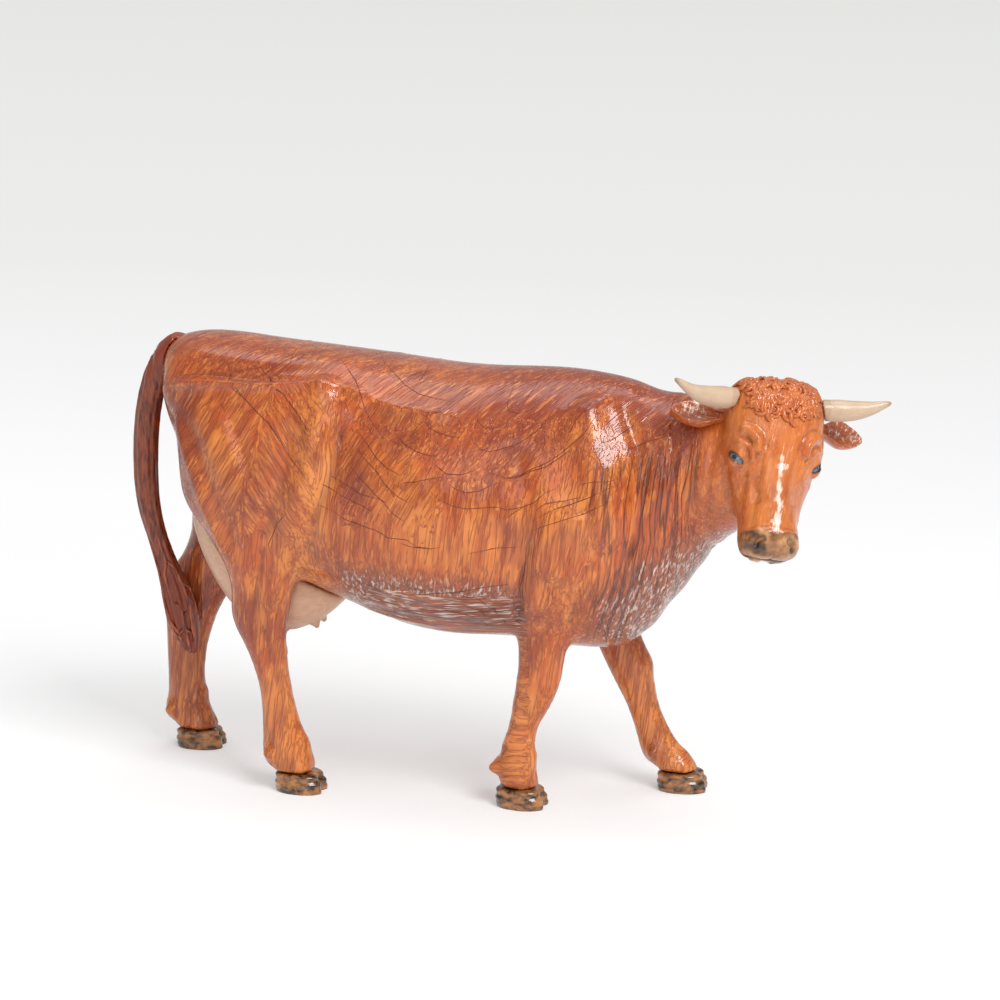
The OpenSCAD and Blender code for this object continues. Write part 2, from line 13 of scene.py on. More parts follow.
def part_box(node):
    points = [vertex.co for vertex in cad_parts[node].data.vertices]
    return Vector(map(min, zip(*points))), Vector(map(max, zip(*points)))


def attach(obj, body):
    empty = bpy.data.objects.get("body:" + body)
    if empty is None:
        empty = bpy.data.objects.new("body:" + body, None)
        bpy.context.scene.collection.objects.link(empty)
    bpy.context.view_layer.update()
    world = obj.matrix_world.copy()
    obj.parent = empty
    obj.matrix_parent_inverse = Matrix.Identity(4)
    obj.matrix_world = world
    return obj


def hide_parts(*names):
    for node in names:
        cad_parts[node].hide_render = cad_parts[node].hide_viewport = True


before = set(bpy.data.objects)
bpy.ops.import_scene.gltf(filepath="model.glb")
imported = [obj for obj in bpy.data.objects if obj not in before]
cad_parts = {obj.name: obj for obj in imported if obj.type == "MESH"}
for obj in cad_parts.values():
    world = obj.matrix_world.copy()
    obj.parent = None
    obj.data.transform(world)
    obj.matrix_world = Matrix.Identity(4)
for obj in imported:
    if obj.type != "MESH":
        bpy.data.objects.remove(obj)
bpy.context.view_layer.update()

bl_info = {
    "name": "Cow figurine",
    "version": (1, 0, 0),
    "blender": (4, 5, 0),
    "location": "3D View > Sidebar > Cow",
    "description": "Models and paints a moulded cow figurine around its packed solids",
    "category": "Object",
}

MM = 0.001
RIGHT = -1
LEFT = 1
BODY = "root"
SHELLS = ("body_shell_right", "body_shell_left")
LEGS = ("leg_front_right", "leg_front_left", "leg_hind_right", "leg_hind_left")
HOOVES = ("hoof_front_right", "hoof_front_left", "hoof_hind_right", "hoof_hind_left")
SIDES = {"right": RIGHT, "left": LEFT}


def linear(colour, alpha=1.0):
    """A hex colour, as a painter would note it, in the linear values that Blender shades with."""
    parts = [int(colour[i:i + 2], 16) / 255 for i in (1, 3, 5)]
    return [p / 12.92 if p <= 0.04045 else ((p + 0.055) / 1.055) ** 2.4 for p in parts] + [alpha]


def colour_prop(name, description, value):
    return bpy.props.FloatVectorProperty(
        name=name, description=description, size=4, subtype="COLOR", min=0, max=1, default=linear(value)
    )


def size_prop(name, description, value, low, high):
    """A length in millimetres"""
    return bpy.props.FloatProperty(name=name, description=description, default=value, min=low, max=high)


class HideSettings(bpy.types.PropertyGroup):
    """Skin and paint of the hide"""

    grain: size_prop("Grain", "Mesh spacing of the body's skin, mm", 0.96, 0.7, 2)
    face_grain: size_prop("Face grain", "Mesh spacing of the head's skin, mm", 0.42, 0.3, 1)
    stroke_w: size_prop("Stroke width", "Width of a brush stroke across the hair, mm", 0.8, 0.2, 3)
    stroke_l: size_prop("Stroke length", "Length of a brush stroke along the hair, mm", 6.5, 1, 20)
    crease_w: size_prop("Crease width", "Width of an incised crease, mm", 0.3, 0.1, 1)
    gold: colour_prop("Gold", "Light golden strokes", "#DD8338")
    orange: colour_prop("Orange", "Orange-brown ground coat", "#BC5416")
    russet: colour_prop("Russet", "Darker reddish-brown strokes", "#862F0C")
    umber: colour_prop("Umber", "Dark wash left in the creases", "#5A220C")
    # Colour of the glints: pale flecks of painted highlight on the carved hair of belly and brisket
    pale: colour_prop("Pale", "Pale rubbed flecks on belly and brisket", "#E9D3C8")
    varnish: bpy.props.FloatProperty(
        name="Varnish roughness", description="Roughness of the varnish", default=0.13, min=0, max=1
    )


class TrimSettings(bpy.types.PropertyGroup):
    """Paints of the smaller pieces"""

    horn: colour_prop("Horn", "Cream of the horns", "#C6AB90")
    horn_tip: colour_prop("Horn tip", "Darker tip of a horn", "#8A6A4C")
    udder: colour_prop("Udder", "Pinkish cream of the udder", "#D6AA8C")
    teat: colour_prop("Teat", "Reddish teats", "#B0603F")
    tail: colour_prop("Tail", "Dark brown of the tail", "#5A1C08")
    tail_light: colour_prop("Tail light", "Lighter strokes on the tail", "#96441C")
    lock: colour_prop("Tail lock", "Red brown of the locks at the end of the tail", "#B2592F")
    hoof: colour_prop("Hoof", "Near-black of the hooves", "#1F1814")
    hoof_gold: colour_prop("Hoof gold", "Rubbed golden patches on the hooves", "#B67A45")
    eye: colour_prop("Eye", "Grey-blue of the eyes", "#59656A")
    pupil: colour_prop("Pupil", "Dark middle of an eye", "#15181B")


class CurlSettings(bpy.types.PropertyGroup):
    """Curls on the poll and locks of the tail"""

    count: bpy.props.IntProperty(name="Curls", description="Curls on the poll", default=270, min=1, max=600)
    length: size_prop("Length", "Length of a curl, mm", 4.2, 1, 10)
    girth: size_prop("Girth", "Thickness of a curl at its root, mm", 1.2, 0.3, 3)
    lock_count: bpy.props.IntProperty(
        name="Locks", description="Locks in the switch", default=34, min=1, max=200
    )
    lock_girth: size_prop("Lock girth", "Thickness of a lock of the switch, mm", 1.0, 0.2, 3)
    seed: bpy.props.IntProperty(name="Seed", description="Seed of the hair's chances", default=7)


class StageSettings(bpy.types.PropertyGroup):
    """Camera, floor and lamps"""

    turn: bpy.props.FloatProperty(
        name="Turn", description="Turn of the camera from square to the flank", subtype="ANGLE",
        default=math.radians(-14)
    )
    rise: bpy.props.FloatProperty(
        name="Rise", description="Angle of the camera above the floor", subtype="ANGLE",
        default=math.radians(14)
    )
    lens: bpy.props.FloatProperty(name="Lens", description="Focal length, mm", default=115.2, min=20, max=300)
    floor: colour_prop("Floor", "Pale floor", "#FBFBFB")
    key: bpy.props.FloatProperty(name="Key", description="Power of the main softbox, W", default=8.5, min=0)
    sky: bpy.props.FloatProperty(name="Sky", description="Strength of the pale studio", default=0.46, min=0)


def unit(v):
    v = np.asarray(v, float)
    return v / np.linalg.norm(v)


def ease(values, low, high):
    """0 below low, 1 above high and smooth between; low may be above high"""
    t = np.clip((values - low) / (high - low), 0, 1)
    return t * t * (3 - 2 * t)


def reach(points, path):
    """How far each point lies from a path, and where along the path, from 0 to 1, it is nearest"""
    path = np.asarray(path, float)
    steps = np.linalg.norm(np.diff(path, axis=0), axis=1)
    starts = np.concatenate([[0], np.cumsum(steps)])
    best = np.full(len(points), np.inf)
    where = np.zeros(len(points))
    for a, b, start, step in zip(path[:-1], path[1:], starts, steps):
        if step < 1e-6:
            continue
        t = np.clip((points - a) @ (b - a) / (step * step), 0, 1)
        off = np.linalg.norm(points - a - t[:, None] * (b - a), axis=1)
        nearer = off < best
        best[nearer] = off[nearer]
        where[nearer] = start + t[nearer] * step
    return best, where / starts[-1]


class Skin:
    """A closed skin as arrays in millimetres, so that a brush can shape all its points at once"""

    def __init__(self, mesh):
        self.mesh = mesh
        self.points = np.empty(len(mesh.vertices) * 3)
        mesh.vertices.foreach_get("co", self.points)
        self.points = self.points.reshape(-1, 3) / MM
        edges = np.empty(len(mesh.edges) * 2, np.int32)
        mesh.edges.foreach_get("vertices", edges)
        self.ends = edges.reshape(-1, 2).T
        self.degree = np.bincount(edges, minlength=len(self.points))
        self.refresh()

    def refresh(self):
        """Writes the points to the mesh and reads its normals again"""
        self.mesh.vertices.foreach_set("co", (self.points * MM).ravel())
        self.mesh.update()
        self.normals = np.empty(len(self.points) * 3)
        self.mesh.vertex_normals.foreach_get("vector", self.normals)
        self.normals = self.normals.reshape(-1, 3)

    def around(self, values):
        """Mean of the values at each point's neighbours"""
        a, b = self.ends
        means = []
        for column in values.T:
            total = np.bincount(a, column[b], len(values)) + np.bincount(b, column[a], len(values))
            means.append(total / self.degree)
        return np.stack(means, axis=1)

    def relax(self, times, weight=1.0):
        """Evens the skin out, by a weight that may differ from point to point"""
        share = 0.5 * np.broadcast_to(weight, len(self.points))[:, None]
        for _ in range(times):
            self.points += share * (self.around(self.points) - self.points)
        self.refresh()

    def fillet(self, times, bend=0.10):
        """Evens out only sharp hollow corners, as filler does along a seam"""
        for _ in range(times):
            pull = self.around(self.points) - self.points
            hollow = np.einsum("ij,ij->i", pull, self.normals)
            wide = self.around(np.maximum(hollow, 0)[:, None])[:, 0]
            self.points += 0.9 * ease(wide, bend * 0.3, bend)[:, None] * pull
        self.refresh()

    def push(self, amounts):
        self.points += self.normals * amounts[:, None]

    def tree(self):
        faces = [tuple(p.vertices) for p in self.mesh.polygons]
        return BVHTree.FromPolygons([tuple(p) for p in self.points], faces)

    def near(self, path, width):
        """Which points may feel a brush along the path"""
        path = np.asarray(path, float)
        low = path.min(0) - 3 * width
        high = path.max(0) + 3 * width
        return np.all((self.points > low) & (self.points < high), axis=1).nonzero()[0]

    def laid(self, path, tree):
        """The path's points moved to the nearest places on the skin"""
        return np.array([tuple(tree.find_nearest(Vector(p))[0]) for p in path])

    def stroke(self, path, width, height, ends=0.15):
        """Raises a soft ridge along a path on the skin, or sinks a groove where height is negative"""
        if len(path) < 2:
            return
        found = self.near(path, width)
        off, along = reach(self.points[found], path)
        fade = ease(np.minimum(along, 1 - along), -0.02, ends)
        amount = height * fade * np.exp(-(off / width) ** 2)
        self.points[found] += self.normals[found] * amount[:, None]

    def dab(self, centre, width, height):
        """Raises a soft knob, or sinks a dimple"""
        found = self.near([centre], width)
        off = np.linalg.norm(self.points[found] - centre, axis=1)
        self.points[found] += self.normals[found] * (height * np.exp(-(off / width) ** 2))[:, None]

    def flatten(self, centre, width, way):
        """Presses the skin round a place towards a flat that faces the given way"""
        found = self.near([centre], width)
        rel = self.points[found] - centre
        share = 0.75 * np.exp(-(np.linalg.norm(rel, axis=1) / width) ** 2)
        self.points[found] -= (share * (rel @ way))[:, None] * way

    def set_values(self, name, values):
        """Stores one value or one colour for each point, for the paint to read"""
        kind = "FLOAT" if values.ndim == 1 else "FLOAT_COLOR"
        stored = self.mesh.attributes.new(name, kind, "POINT")
        if kind == "FLOAT":
            stored.data.foreach_set("value", values.astype(np.float32))
        else:
            full = np.ones((len(values), 4), np.float32)
            full[:, :values.shape[1]] = values
            stored.data.foreach_set("color", full.ravel())


def link(name, data):
    made = bpy.data.objects.new(name, data)
    bpy.context.scene.collection.objects.link(made)
    return made


def finished(source, name):
    """A plain mesh of what the source's modifiers make. The source is removed."""
    view = bpy.context.evaluated_depsgraph_get()
    mesh = bpy.data.meshes.new_from_object(source.evaluated_get(view))
    mesh.name = name
    bpy.data.objects.remove(source)
    return mesh


def keep_largest(bm):
    """Deletes all but the largest connected shell, such as the wall of a sealed hollow"""
    seen = set()
    shells = []
    for start in bm.verts:
        if start in seen:
            continue
        seen.add(start)
        shell = [start]
        for vert in shell:
            for edge in vert.link_edges:
                other = edge.other_vert(vert)
                if other not in seen:
                    seen.add(other)
                    shell.append(other)
        shells.append(shell)
    shells.sort(key=len)
    for shell in shells[:-1]:
        bmesh.ops.delete(bm, geom=shell, context="VERTS")


def moulded(nodes, grain, name, cut=None):
    """One even skin over copies of CAD nodes. A cut is a point and a direction: what lies that way goes."""
    bm = bmesh.new()
    for node in nodes:
        bm.from_mesh(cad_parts[node].data)
    bmesh.ops.remove_doubles(bm, verts=bm.verts, dist=0.002 * MM)
    mesh = bpy.data.meshes.new(name)
    bm.to_mesh(mesh)
    bm.free()
    source = link(name, mesh)
    remesh = source.modifiers.new("Even skin", "REMESH")
    remesh.mode = "VOXEL"
    remesh.voxel_size = grain * MM
    mesh = finished(source, name)
    bm = bmesh.new()
    bm.from_mesh(mesh)
    if cut:
        whole = list(bm.verts) + list(bm.edges) + list(bm.faces)
        place = Vector(cut[0]) * MM
        bmesh.ops.bisect_plane(bm, geom=whole, plane_co=place, plane_no=Vector(cut[1]), clear_outer=True)
    keep_largest(bm)
    if cut:
        rim = [e for e in bm.edges if e.is_boundary]
        bmesh.ops.holes_fill(bm, edges=rim)
    bm.to_mesh(mesh)
    bm.free()
    mesh.shade_smooth()
    return mesh


def refine(mesh, chosen):
    """Halves the grain of the skin where chosen says so for a face's middle, in millimetres"""
    bm = bmesh.new()
    bm.from_mesh(mesh)
    middles = np.array([f.calc_center_median() for f in bm.faces]) / MM
    wanted = chosen(middles)
    edges = {e for f, take in zip(bm.faces, wanted) if take for e in f.edges}
    bmesh.ops.subdivide_edges(bm, edges=list(edges), cuts=1, use_grid_fill=True)
    bm.to_mesh(mesh)
    bm.free()
    mesh.shade_smooth()


def add(tree, kind, inputs=None, out=0, stops=(), **settings):
    """Adds a node and gives one of its outputs, or the node itself where out is None. An input is given
    by name or number, as a value or as another node's output. Stops are a ramp's places and colours."""
    made = tree.nodes.new(kind)
    for key, value in settings.items():
        setattr(made, key, value)
    for key, value in (inputs or {}).items():
        if isinstance(value, bpy.types.NodeSocket):
            tree.links.new(value, made.inputs[key])
        else:
            made.inputs[key].default_value = value
    if stops:
        steps = made.color_ramp.elements
        while len(steps) < len(stops):
            steps.new(0.5)
        for step, (place, colour) in zip(steps, stops):
            step.position = place
            step.color = colour
    return made if out is None or not made.outputs else made.outputs[out]


def new_material(name):
    """An empty material, and the function that adds nodes to it"""
    material = bpy.data.materials.new(name)
    material.use_nodes = True
    material.node_tree.nodes.clear()
    return material, partial(add, material.node_tree)


def columns(*values):
    """Single values and arrays side by side, one row for each point"""
    return np.stack(np.broadcast_arrays(*values), axis=1)


def finish_piece(piece, nodes, material=None):
    """Fixes a piece to the frame: what it rides on, what it stands for and where its finish is noted"""
    if material:
        piece.data.materials.clear()
        piece.data.materials.append(material)
    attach(piece, BODY)
    if nodes:
        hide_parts(*nodes)
    return piece


# Landmarks of the head, on axes of its own: out of the face, to the cow's left and up the face
HEAD_TURN = 64
HEAD_LEAN = 10
HEAD_NOD = 21
EYE_DOWN = 19.49
EYE_OUT = -5.4
EYE_R = (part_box("eye_left")[1].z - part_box("eye_left")[0].z) / 2 / MM


def head_axes():
    turn = Matrix.Rotation(math.radians(-HEAD_TURN), 3, "Z")
    lean = Matrix.Rotation(math.radians(-HEAD_LEAN), 3, "X")
    nod = Matrix.Rotation(math.radians(-HEAD_NOD), 3, "Y")
    return np.array(turn @ lean @ nod)


def eye_centre(side):
    low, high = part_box("eye_right" if side == RIGHT else "eye_left")
    return np.array((low + high) / 2) / MM


AXES = head_axes()
POLL = (eye_centre(RIGHT) + eye_centre(LEFT)) / 2 - AXES @ np.array([EYE_OUT, 0, -EYE_DOWN])


def on_head(down, left, out):
    """A place on the head: how far down the face, to the cow's left and out of the face, in millimetres"""
    return POLL + AXES @ np.array([out, left, -down])


def head_places(points):
    """Down, left and out for each point"""
    local = (points - POLL) @ AXES
    return -local[:, 2], local[:, 1], local[:, 0]


# The middle of the trunk and neck, from the pins to the back of the head
SPINE = np.array([
    (-89.5, 0.3, 106), (-78, 0.3, 100), (-60, 0.3, 90), (-38, 0.3, 79), (-12, 0.3, 72.5), (10, 0.3, 73.5),
    (30, 0.3, 78), (37, 0.3, 80), (44.5, -0.2, 83), (53, -1.7, 87), (62, -4.2, 90.7), (70, -7.2, 93.6),
    (76, -11, 96)
])
# How far along it the neck leaves the shoulders
SPINE_TO_SHOULDER = 129.0
# The head's skin takes in the end of the neck as far as this plane
COLLAR_AT = np.array([50.0, 0.0, 84.0])
COLLAR_WAY = unit([-1.0, 0.18, -0.25])
# How far the body's skin runs on inside the head's
COLLAR_OVERLAP = 7
# How far above the body's skin the head's lies at the collar, and how deep its edge dives
COLLAR_SKIN = 0.08
COLLAR_DIVE = 0.35


# A ray comes from this far out to find a place on the side of a skin. Where it passes the skin by no more
# than a miss, the skin's nearest place is taken.
RAY_START = 200.0
MISS = 3


def side_path(skin_tree, places, side, shift=0.0):
    """Lays a path given by place along the body and level onto the skin, from that side. Places that
    this skin doesn't reach are left out."""
    laid = []
    for x, z in places:
        hit = skin_tree.ray_cast(Vector((x + shift, side * RAY_START, z)), Vector((0, -side, 0)))[0]
        if hit is None:
            near = skin_tree.find_nearest(Vector((x + shift, side * 12.0, z)))[0]
            hit = near if math.hypot(near.x - x - shift, near.z - z) < MISS else None
        if hit is not None:
            laid.append(tuple(hit))
    return np.array(laid).reshape(-1, 3)


# Forms of the trunk that a thumb or a tool would model: place and level, width, height
TRUNK_STROKES = [
    # Shelf from the pin bone to the hook bone and on along the loin, with a hollow above it
    ([(-87, 105.5), (-80, 108), (-73, 108.8), (-61, 108.6), (-53, 109), (-47, 109.6), (-42, 109.6)],
     1.1, 1.4),
    ([(-48, 109), (-41, 109.8), (-35, 109), (-28, 106.8), (-22, 105.4), (-13, 104.6), (-4, 104)], 1.5, 0.95),
    ([(-84, 109.4), (-73, 110.8), (-61, 110.6), (-53, 111), (-46, 111.6)], 0.8, -0.8),
    ([(-83, 111), (-74, 112), (-62, 112), (-52, 112.4), (-43, 112.6), (-34, 111)], 2.6, -1.0),
    ([(-82, 103.5), (-73, 105), (-61, 104.5), (-52, 104.5)], 2.4, -0.5),
    # Front edge of the thigh, from the hook bone down to the stifle
    ([(-44, 106), (-42.5, 99), (-43.5, 89), (-48, 79.5), (-52, 69), (-54, 58), (-56.5, 48)], 3.0, 1.5),
    ([(-51, 102), (-49.5, 94), (-52, 84), (-56, 75), (-59, 66)], 2.6, -0.8),
    # Hollow of the flank in front of it
    ([(-38.5, 104), (-36.5, 97), (-37.5, 89), (-41, 80), (-44.5, 70), (-46.5, 62)], 2.4, -1.0),
    ([(-36, 102), (-33.5, 95), (-32.5, 86), (-33, 77), (-35, 68)], 4.0, -0.6),
    ([(-36, 103.4), (-30, 102), (-22, 101), (-14, 100)], 2.6, -0.8),
    # Crease between the thigh and the stifle, and the stifle itself
    ([(-57, 68), (-58.6, 62), (-60, 55), (-62, 49)], 1.4, -0.6),
    # Rear muscles of the thigh
    ([(-84, 101), (-80, 93), (-76, 84), (-72, 74), (-68, 62)], 1.9, 0.8),
    ([(-79, 100), (-75, 92), (-71, 82), (-67, 72), (-64, 62)], 2.2, -0.8),
    ([(-66, 103), (-63.5, 96), (-61, 89), (-59, 82)], 2.4, -0.7),
    # Front edge of the shoulder blade, and the dip where the neck starts
    ([(24, 109.5), (27, 105.5), (29.5, 100), (31, 94.5), (32, 88), (32.5, 80), (32, 71)], 5.0, 2.6),
    ([(32, 110), (36.5, 103.5), (39.8, 97), (40.8, 91), (40.4, 85), (39.6, 76), (37.5, 67)], 1.7, -1.1),
    # Hollow behind the shoulder, which sharpens to a crease at the elbow
    ([(7, 99), (10, 93), (12.5, 85), (12.5, 77), (11.5, 70), (10.6, 62)], 3.6, -1.0),
    ([(14, 76), (12.8, 69), (11.6, 62), (10.4, 55), (9.5, 50)], 1.3, -1.3),
    # Upper arm, elbow and the fold in front of the elbow
    ([(24, 84), (21, 74), (18, 64)], 6.0, 1.1),
    ([(29, 70), (26.5, 62), (24.5, 56), (22.5, 50)], 1.3, -0.8),
]
TRUNK_DABS = [
    (-42.0, 109.2, 3.4, 1.9), (-30.5, 107.4, 2.4, 0.9), (-86, 104.5, 3.2, 0.9), (14.5, 58, 3.6, 1.0),
    (-50, 64, 5, 0.6), (30, 99, 6, 0.5), (-58, 95, 8, -0.8), (-63, 80, 9, 0.7),
]
# Flats that catch the light, on the shoulder blade and in front of the hook bone: place, level and width
TRUNK_FLATS = [(32.0, 105.0, 4.2), (30.5, 98.5, 6.4), (-38.5, 108.6, 3.4), (-31.0, 107.0, 3.0)]
FLAT_WAY = (0.40, 0.72, 0.57)
RIB_PLACES = (-27, -21.5, -16, -10, -4, 2)
THIGH_FRONT = -40
LEFT_THIGH_SHIFT = -6.5


def far_shift(places, side):
    """The left thigh stands further back, so its forms move with it"""
    return LEFT_THIGH_SHIFT if side == LEFT and np.mean([p[0] for p in places]) < THIGH_FRONT else 0.0


def model_trunk(skin):
    tree = skin.tree()
    for side in (RIGHT, LEFT):
        for places, width, height in TRUNK_STROKES:
            skin.stroke(side_path(tree, places, side, far_shift(places, side)), width, height)
        for x, z, width, height in TRUNK_DABS:
            for centre in side_path(tree, [(x, z)], side, far_shift([(x, z)], side)):
                skin.dab(centre, width, height)
        way = unit([FLAT_WAY[0], side * FLAT_WAY[1], FLAT_WAY[2]])
        for x, z, width in TRUNK_FLATS:
            for centre in side_path(tree, [(x, z)], side):
                skin.flatten(centre, width, way)
        for x in RIB_PLACES:
            path = side_path(tree, [(x + 3, 92), (x + 1, 84), (x, 74), (x + 1, 64)], side)
            skin.stroke(path, 1.9, 0.28)
    skin.refresh()


def neck_frame(points):
    """Place along the spine, and turn about it from the crest, 0, to the throat, pi, for each point"""
    along = reach(points, SPINE)[1]
    steps = np.linalg.norm(np.diff(SPINE, axis=0), axis=1)
    starts = np.concatenate([[0], np.cumsum(steps)])
    place = along * starts[-1]
    middle = np.stack([np.interp(place, starts, SPINE[:, k]) for k in range(3)], axis=1)
    out = points - middle
    turn = np.arctan2(np.hypot(out[:, 0], out[:, 1]) * np.sign(out[:, 1] + 1e-9), out[:, 2])
    return place, turn


def fold_zones(skin):
    """For each point, how strongly neck, belly and brisket are creased there, and its places across and
    along the creases"""
    x, y, z = skin.points.T
    place, turn = neck_frame(skin.points)
    turn = np.abs(turn)
    zones = []
    start = SPINE_TO_SHOULDER
    neck = ease(place, start - 3, start + 3) * ease(turn, 0.75, 1.25) * ease(turn, 2.6, 2.1)
    slope = x - np.interp(z, [40, 62, 74, 120], [-4.0, 4.4, 7.0, 10.0])
    zones.append((0.9 * neck * ease(z, 62, 72), slope, z))
    under = ease(x, -36, -26) * ease(x, 13, 9) * ease(z, 62, 58) * ease(z, 43, 46) * ease(np.abs(y), 1, 4)
    zones.append((under, z - 0.003 * (x + 8) ** 2, x))
    brisket = ease(x, 24, 31) * ease(z, 76, 66) * ease(z, 40, 46) * ease(z - 0.9 * (x - 40), 80, 66)
    zones.append((0.9 * brisket, slope, z))
    strength = np.array([zone[0] for zone in zones])
    chosen = strength.argmax(0)
    across = np.choose(chosen, [zone[1] for zone in zones])
    along = np.choose(chosen, [zone[2] for zone in zones])
    return strength.max(0), across, along


FOLD_SEED = 11
FOLD_WAVES = 5
FOLD_HEIGHT = 0.11


def model_folds(skin):
    """Broad soft folds under the fine creases of the neck, belly and brisket"""
    chances = np.random.RandomState(FOLD_SEED)
    strength, across, along = fold_zones(skin)
    wave = np.zeros(len(across))
    for _ in range(FOLD_WAVES):
        length = chances.uniform(2.6, 5.5)
        sway = chances.uniform(0.5, 1.1) * np.sin(along / chances.uniform(7, 12) + chances.uniform(0, 6))
        wave += np.cos(2 * np.pi * (across + sway) / length + chances.uniform(0, 6))
    skin.push(FOLD_HEIGHT * wave * strength)
    skin.refresh()


def model_legs(skin):
    """Dewclaws, pasterns, knees and the cord behind each cannon"""
    tree = skin.tree()

    def dab(place, width, height):
        skin.dab(skin.laid([place], tree)[0], width, height)

    for hoof in HOOVES:
        low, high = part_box(hoof)
        mid = np.array((low + high) / 2) / MM
        front = "front" in hoof
        heel = mid[0] - 5.2
        for side in (RIGHT, LEFT):
            dab((heel - 2.0, mid[1] + side * 2.2, 10.2), 1.4, 1.5)
            dab((heel - 2.0, mid[1] + side * 2.0, 7.0), 1.2, -0.7)
            dab((heel - 2.0, mid[1] + side * 1.6, 14.5), 1.8, -0.45)
            dab((mid[0] + 1.2, mid[1] + side * 4.6, 6.6), 1.8, 0.45)
        front_line = [(mid[0] + 8, mid[1], 5.2), (mid[0] + 6.5, mid[1], 9.5)]
        skin.stroke(skin.laid(front_line, tree), 0.8, -0.5, 0.01)
        dab((mid[0] + 6, mid[1], 14.0 if front else 15.5), 2.2, 0.5)
    skin.refresh()
    tree = skin.tree()
    for side, knee in ((RIGHT, (14.8, 32.5)), (LEFT, (36.5, 34))):
        spot = side_path(tree, [knee], side)[0]
        skin.dab(spot + np.array([2.5, 0, 0]), 3.0, 0.55)
        skin.dab(spot + np.array([-3.6, 0, 5.5]), 2.4, -0.35)
    for side, shift in ((RIGHT, 0.0), (LEFT, -34.5)):
        cord = [(-62.5, 47), (-60.4, 41), (-58.6, 34), (-57.2, 26)]
        skin.stroke(side_path(tree, [(x + 2.6 + shift, z) for x, z in cord], side), 1.0, -0.45)
        skin.stroke(side_path(tree, [(-55 + shift, 42), (-54 + shift, 36)], side), 1.8, 0.5)
    skin.refresh()


# The line between the lips, and the dark of a nostril, on the head's axes
MOUTH = [(43.3, 0.0, -5.4), (43.1, 3.0, -5.8), (42.2, 5.6, -6.9), (40.6, 7.2, -8.4)]
NOSTRIL = [(39.2, 3.6, -0.4), (40.2, 5.0, -1.0), (41.2, 4.6, -2.0)]


def model_head(skin):
    """Lids, brows, cheeks, nose, nostrils and mouth"""
    tree = skin.tree()

    def stroke(places, width, height, ends=0.15):
        for side in (RIGHT, LEFT):
            path = [on_head(s, side * t, h) for s, t, h in places]
            skin.stroke(skin.laid(path, tree), width, height, ends)

    # Ridge of the brow, and the folds that run from it round the inner corner of the eye
    stroke([(12.0, 11.2, -3.0), (12.6, 8.8, -1.2), (14.8, 6.6, 0.0), (18.8, 5.7, 0.0)], 1.15, 1.25)
    stroke([(14.2, 11.0, -3.4), (14.8, 8.8, -1.7), (16.6, 7.0, -0.7), (20.0, 6.3, -0.7)], 0.5, -0.5)
    stroke([(15.4, 11.2, -4.0), (16.0, 9.2, -2.2), (17.8, 7.7, -1.2), (20.6, 7.2, -1.6)], 0.6, 0.65)
    stroke([(10.2, 10.2, -2.0), (10.9, 7.6, -0.4), (13.2, 5.2, 0.4), (17.8, 4.3, 0.3)], 0.7, -0.3)
    stroke([(22.6, 11.4, -6.6), (23.8, 9.6, -4.6), (24.0, 7.8, -3.0)], 0.55, -0.25)
    # Hollow under the eye and the cheek ridge that runs to the mouth
    stroke([(24, 7.6, -3), (27, 6.2, -2.4), (31, 5.4, -1.6)], 2.0, -0.55)
    stroke([(22.5, 11.4, -8), (26, 9.4, -8), (31, 7.4, -7), (35, 6.6, -6)], 1.7, 0.5)
    stroke([(20, 12.6, -16), (26, 10, -16), (31, 8, -14)], 2.6, 0.5)
    stroke([(25, 10.2, -12.5), (30, 7.8, -11), (35, 6.2, -9.6)], 1.4, -0.4)
    # Bridge of the nose
    stroke([(20, 0.8, 0.4), (27, 0.8, 0.2), (34, 0.8, 0.1)], 1.8, 0.28)
    # Step where the muzzle's bare skin starts
    rim = [(36.4, 0, 0.2), (36.0, 3.4, -0.3), (36.4, 6.4, -2.6), (37.6, 7.6, -5.6), (39.4, 7.6, -9)]
    stroke(rim, 0.5, -0.3)
    stroke([(37.6, 0.6, 0.2), (37.4, 3.6, -0.3), (38.0, 6.6, -2.8)], 0.8, 0.3)
    # Nostrils, comma shaped, with a raised wing
    stroke([(39.0, 3.3, -0.2), (39.6, 4.6, -0.6), (40.6, 5.2, -1.4), (41.4, 4.6, -2.0)], 0.72, -1.15, 0.05)
    stroke([(38.2, 5.0, -0.6), (39.4, 6.4, -1.6), (41.0, 6.5, -2.8)], 0.7, 0.45)
    # Mouth and the groove in the upper lip
    stroke(MOUTH, 0.5, -0.8, 0.01)
    stroke([(44.0, 1.2, -8.2), (43.0, 4.0, -9)], 1.4, 0.45)
    groove = [on_head(40.4, 0, 0.1), on_head(42.6, 0, -2.2), on_head(43.4, 0, -5)]
    skin.stroke(skin.laid(groove, tree), 0.4, -0.35, 0.02)
    skin.refresh()
    for side in (RIGHT, LEFT):
        model_eye(skin, side)
    skin.refresh()


# An eye's opening: a slanted almond, as shares of the bead's radius
EYE_HALF_LONG = 1.0
EYE_HALF_OPEN = 0.30
EYE_SLANT = 34
EYE_RIM = "#2A2826"


def eye_plane(side):
    """Outward direction at an eye, then along its opening and across it, towards the upper lid"""
    outward = unit(AXES @ np.array([0.70, side * 0.70, 0.08]))
    up = AXES @ np.array([0, 0, 1.0])
    inner = np.cross(up, outward) * side
    slant = math.radians(EYE_SLANT)
    along = unit(inner - outward * (inner @ outward))
    across = np.cross(outward, along)
    across = across if across @ up > 0 else -across
    towards_nose = unit(AXES @ np.array([0, -side, 0.0]))
    along = along if along @ towards_nose > 0 else -along
    cosine, sine = math.cos(slant), math.sin(slant)
    return outward, along * cosine - across * sine, across * cosine + along * sine


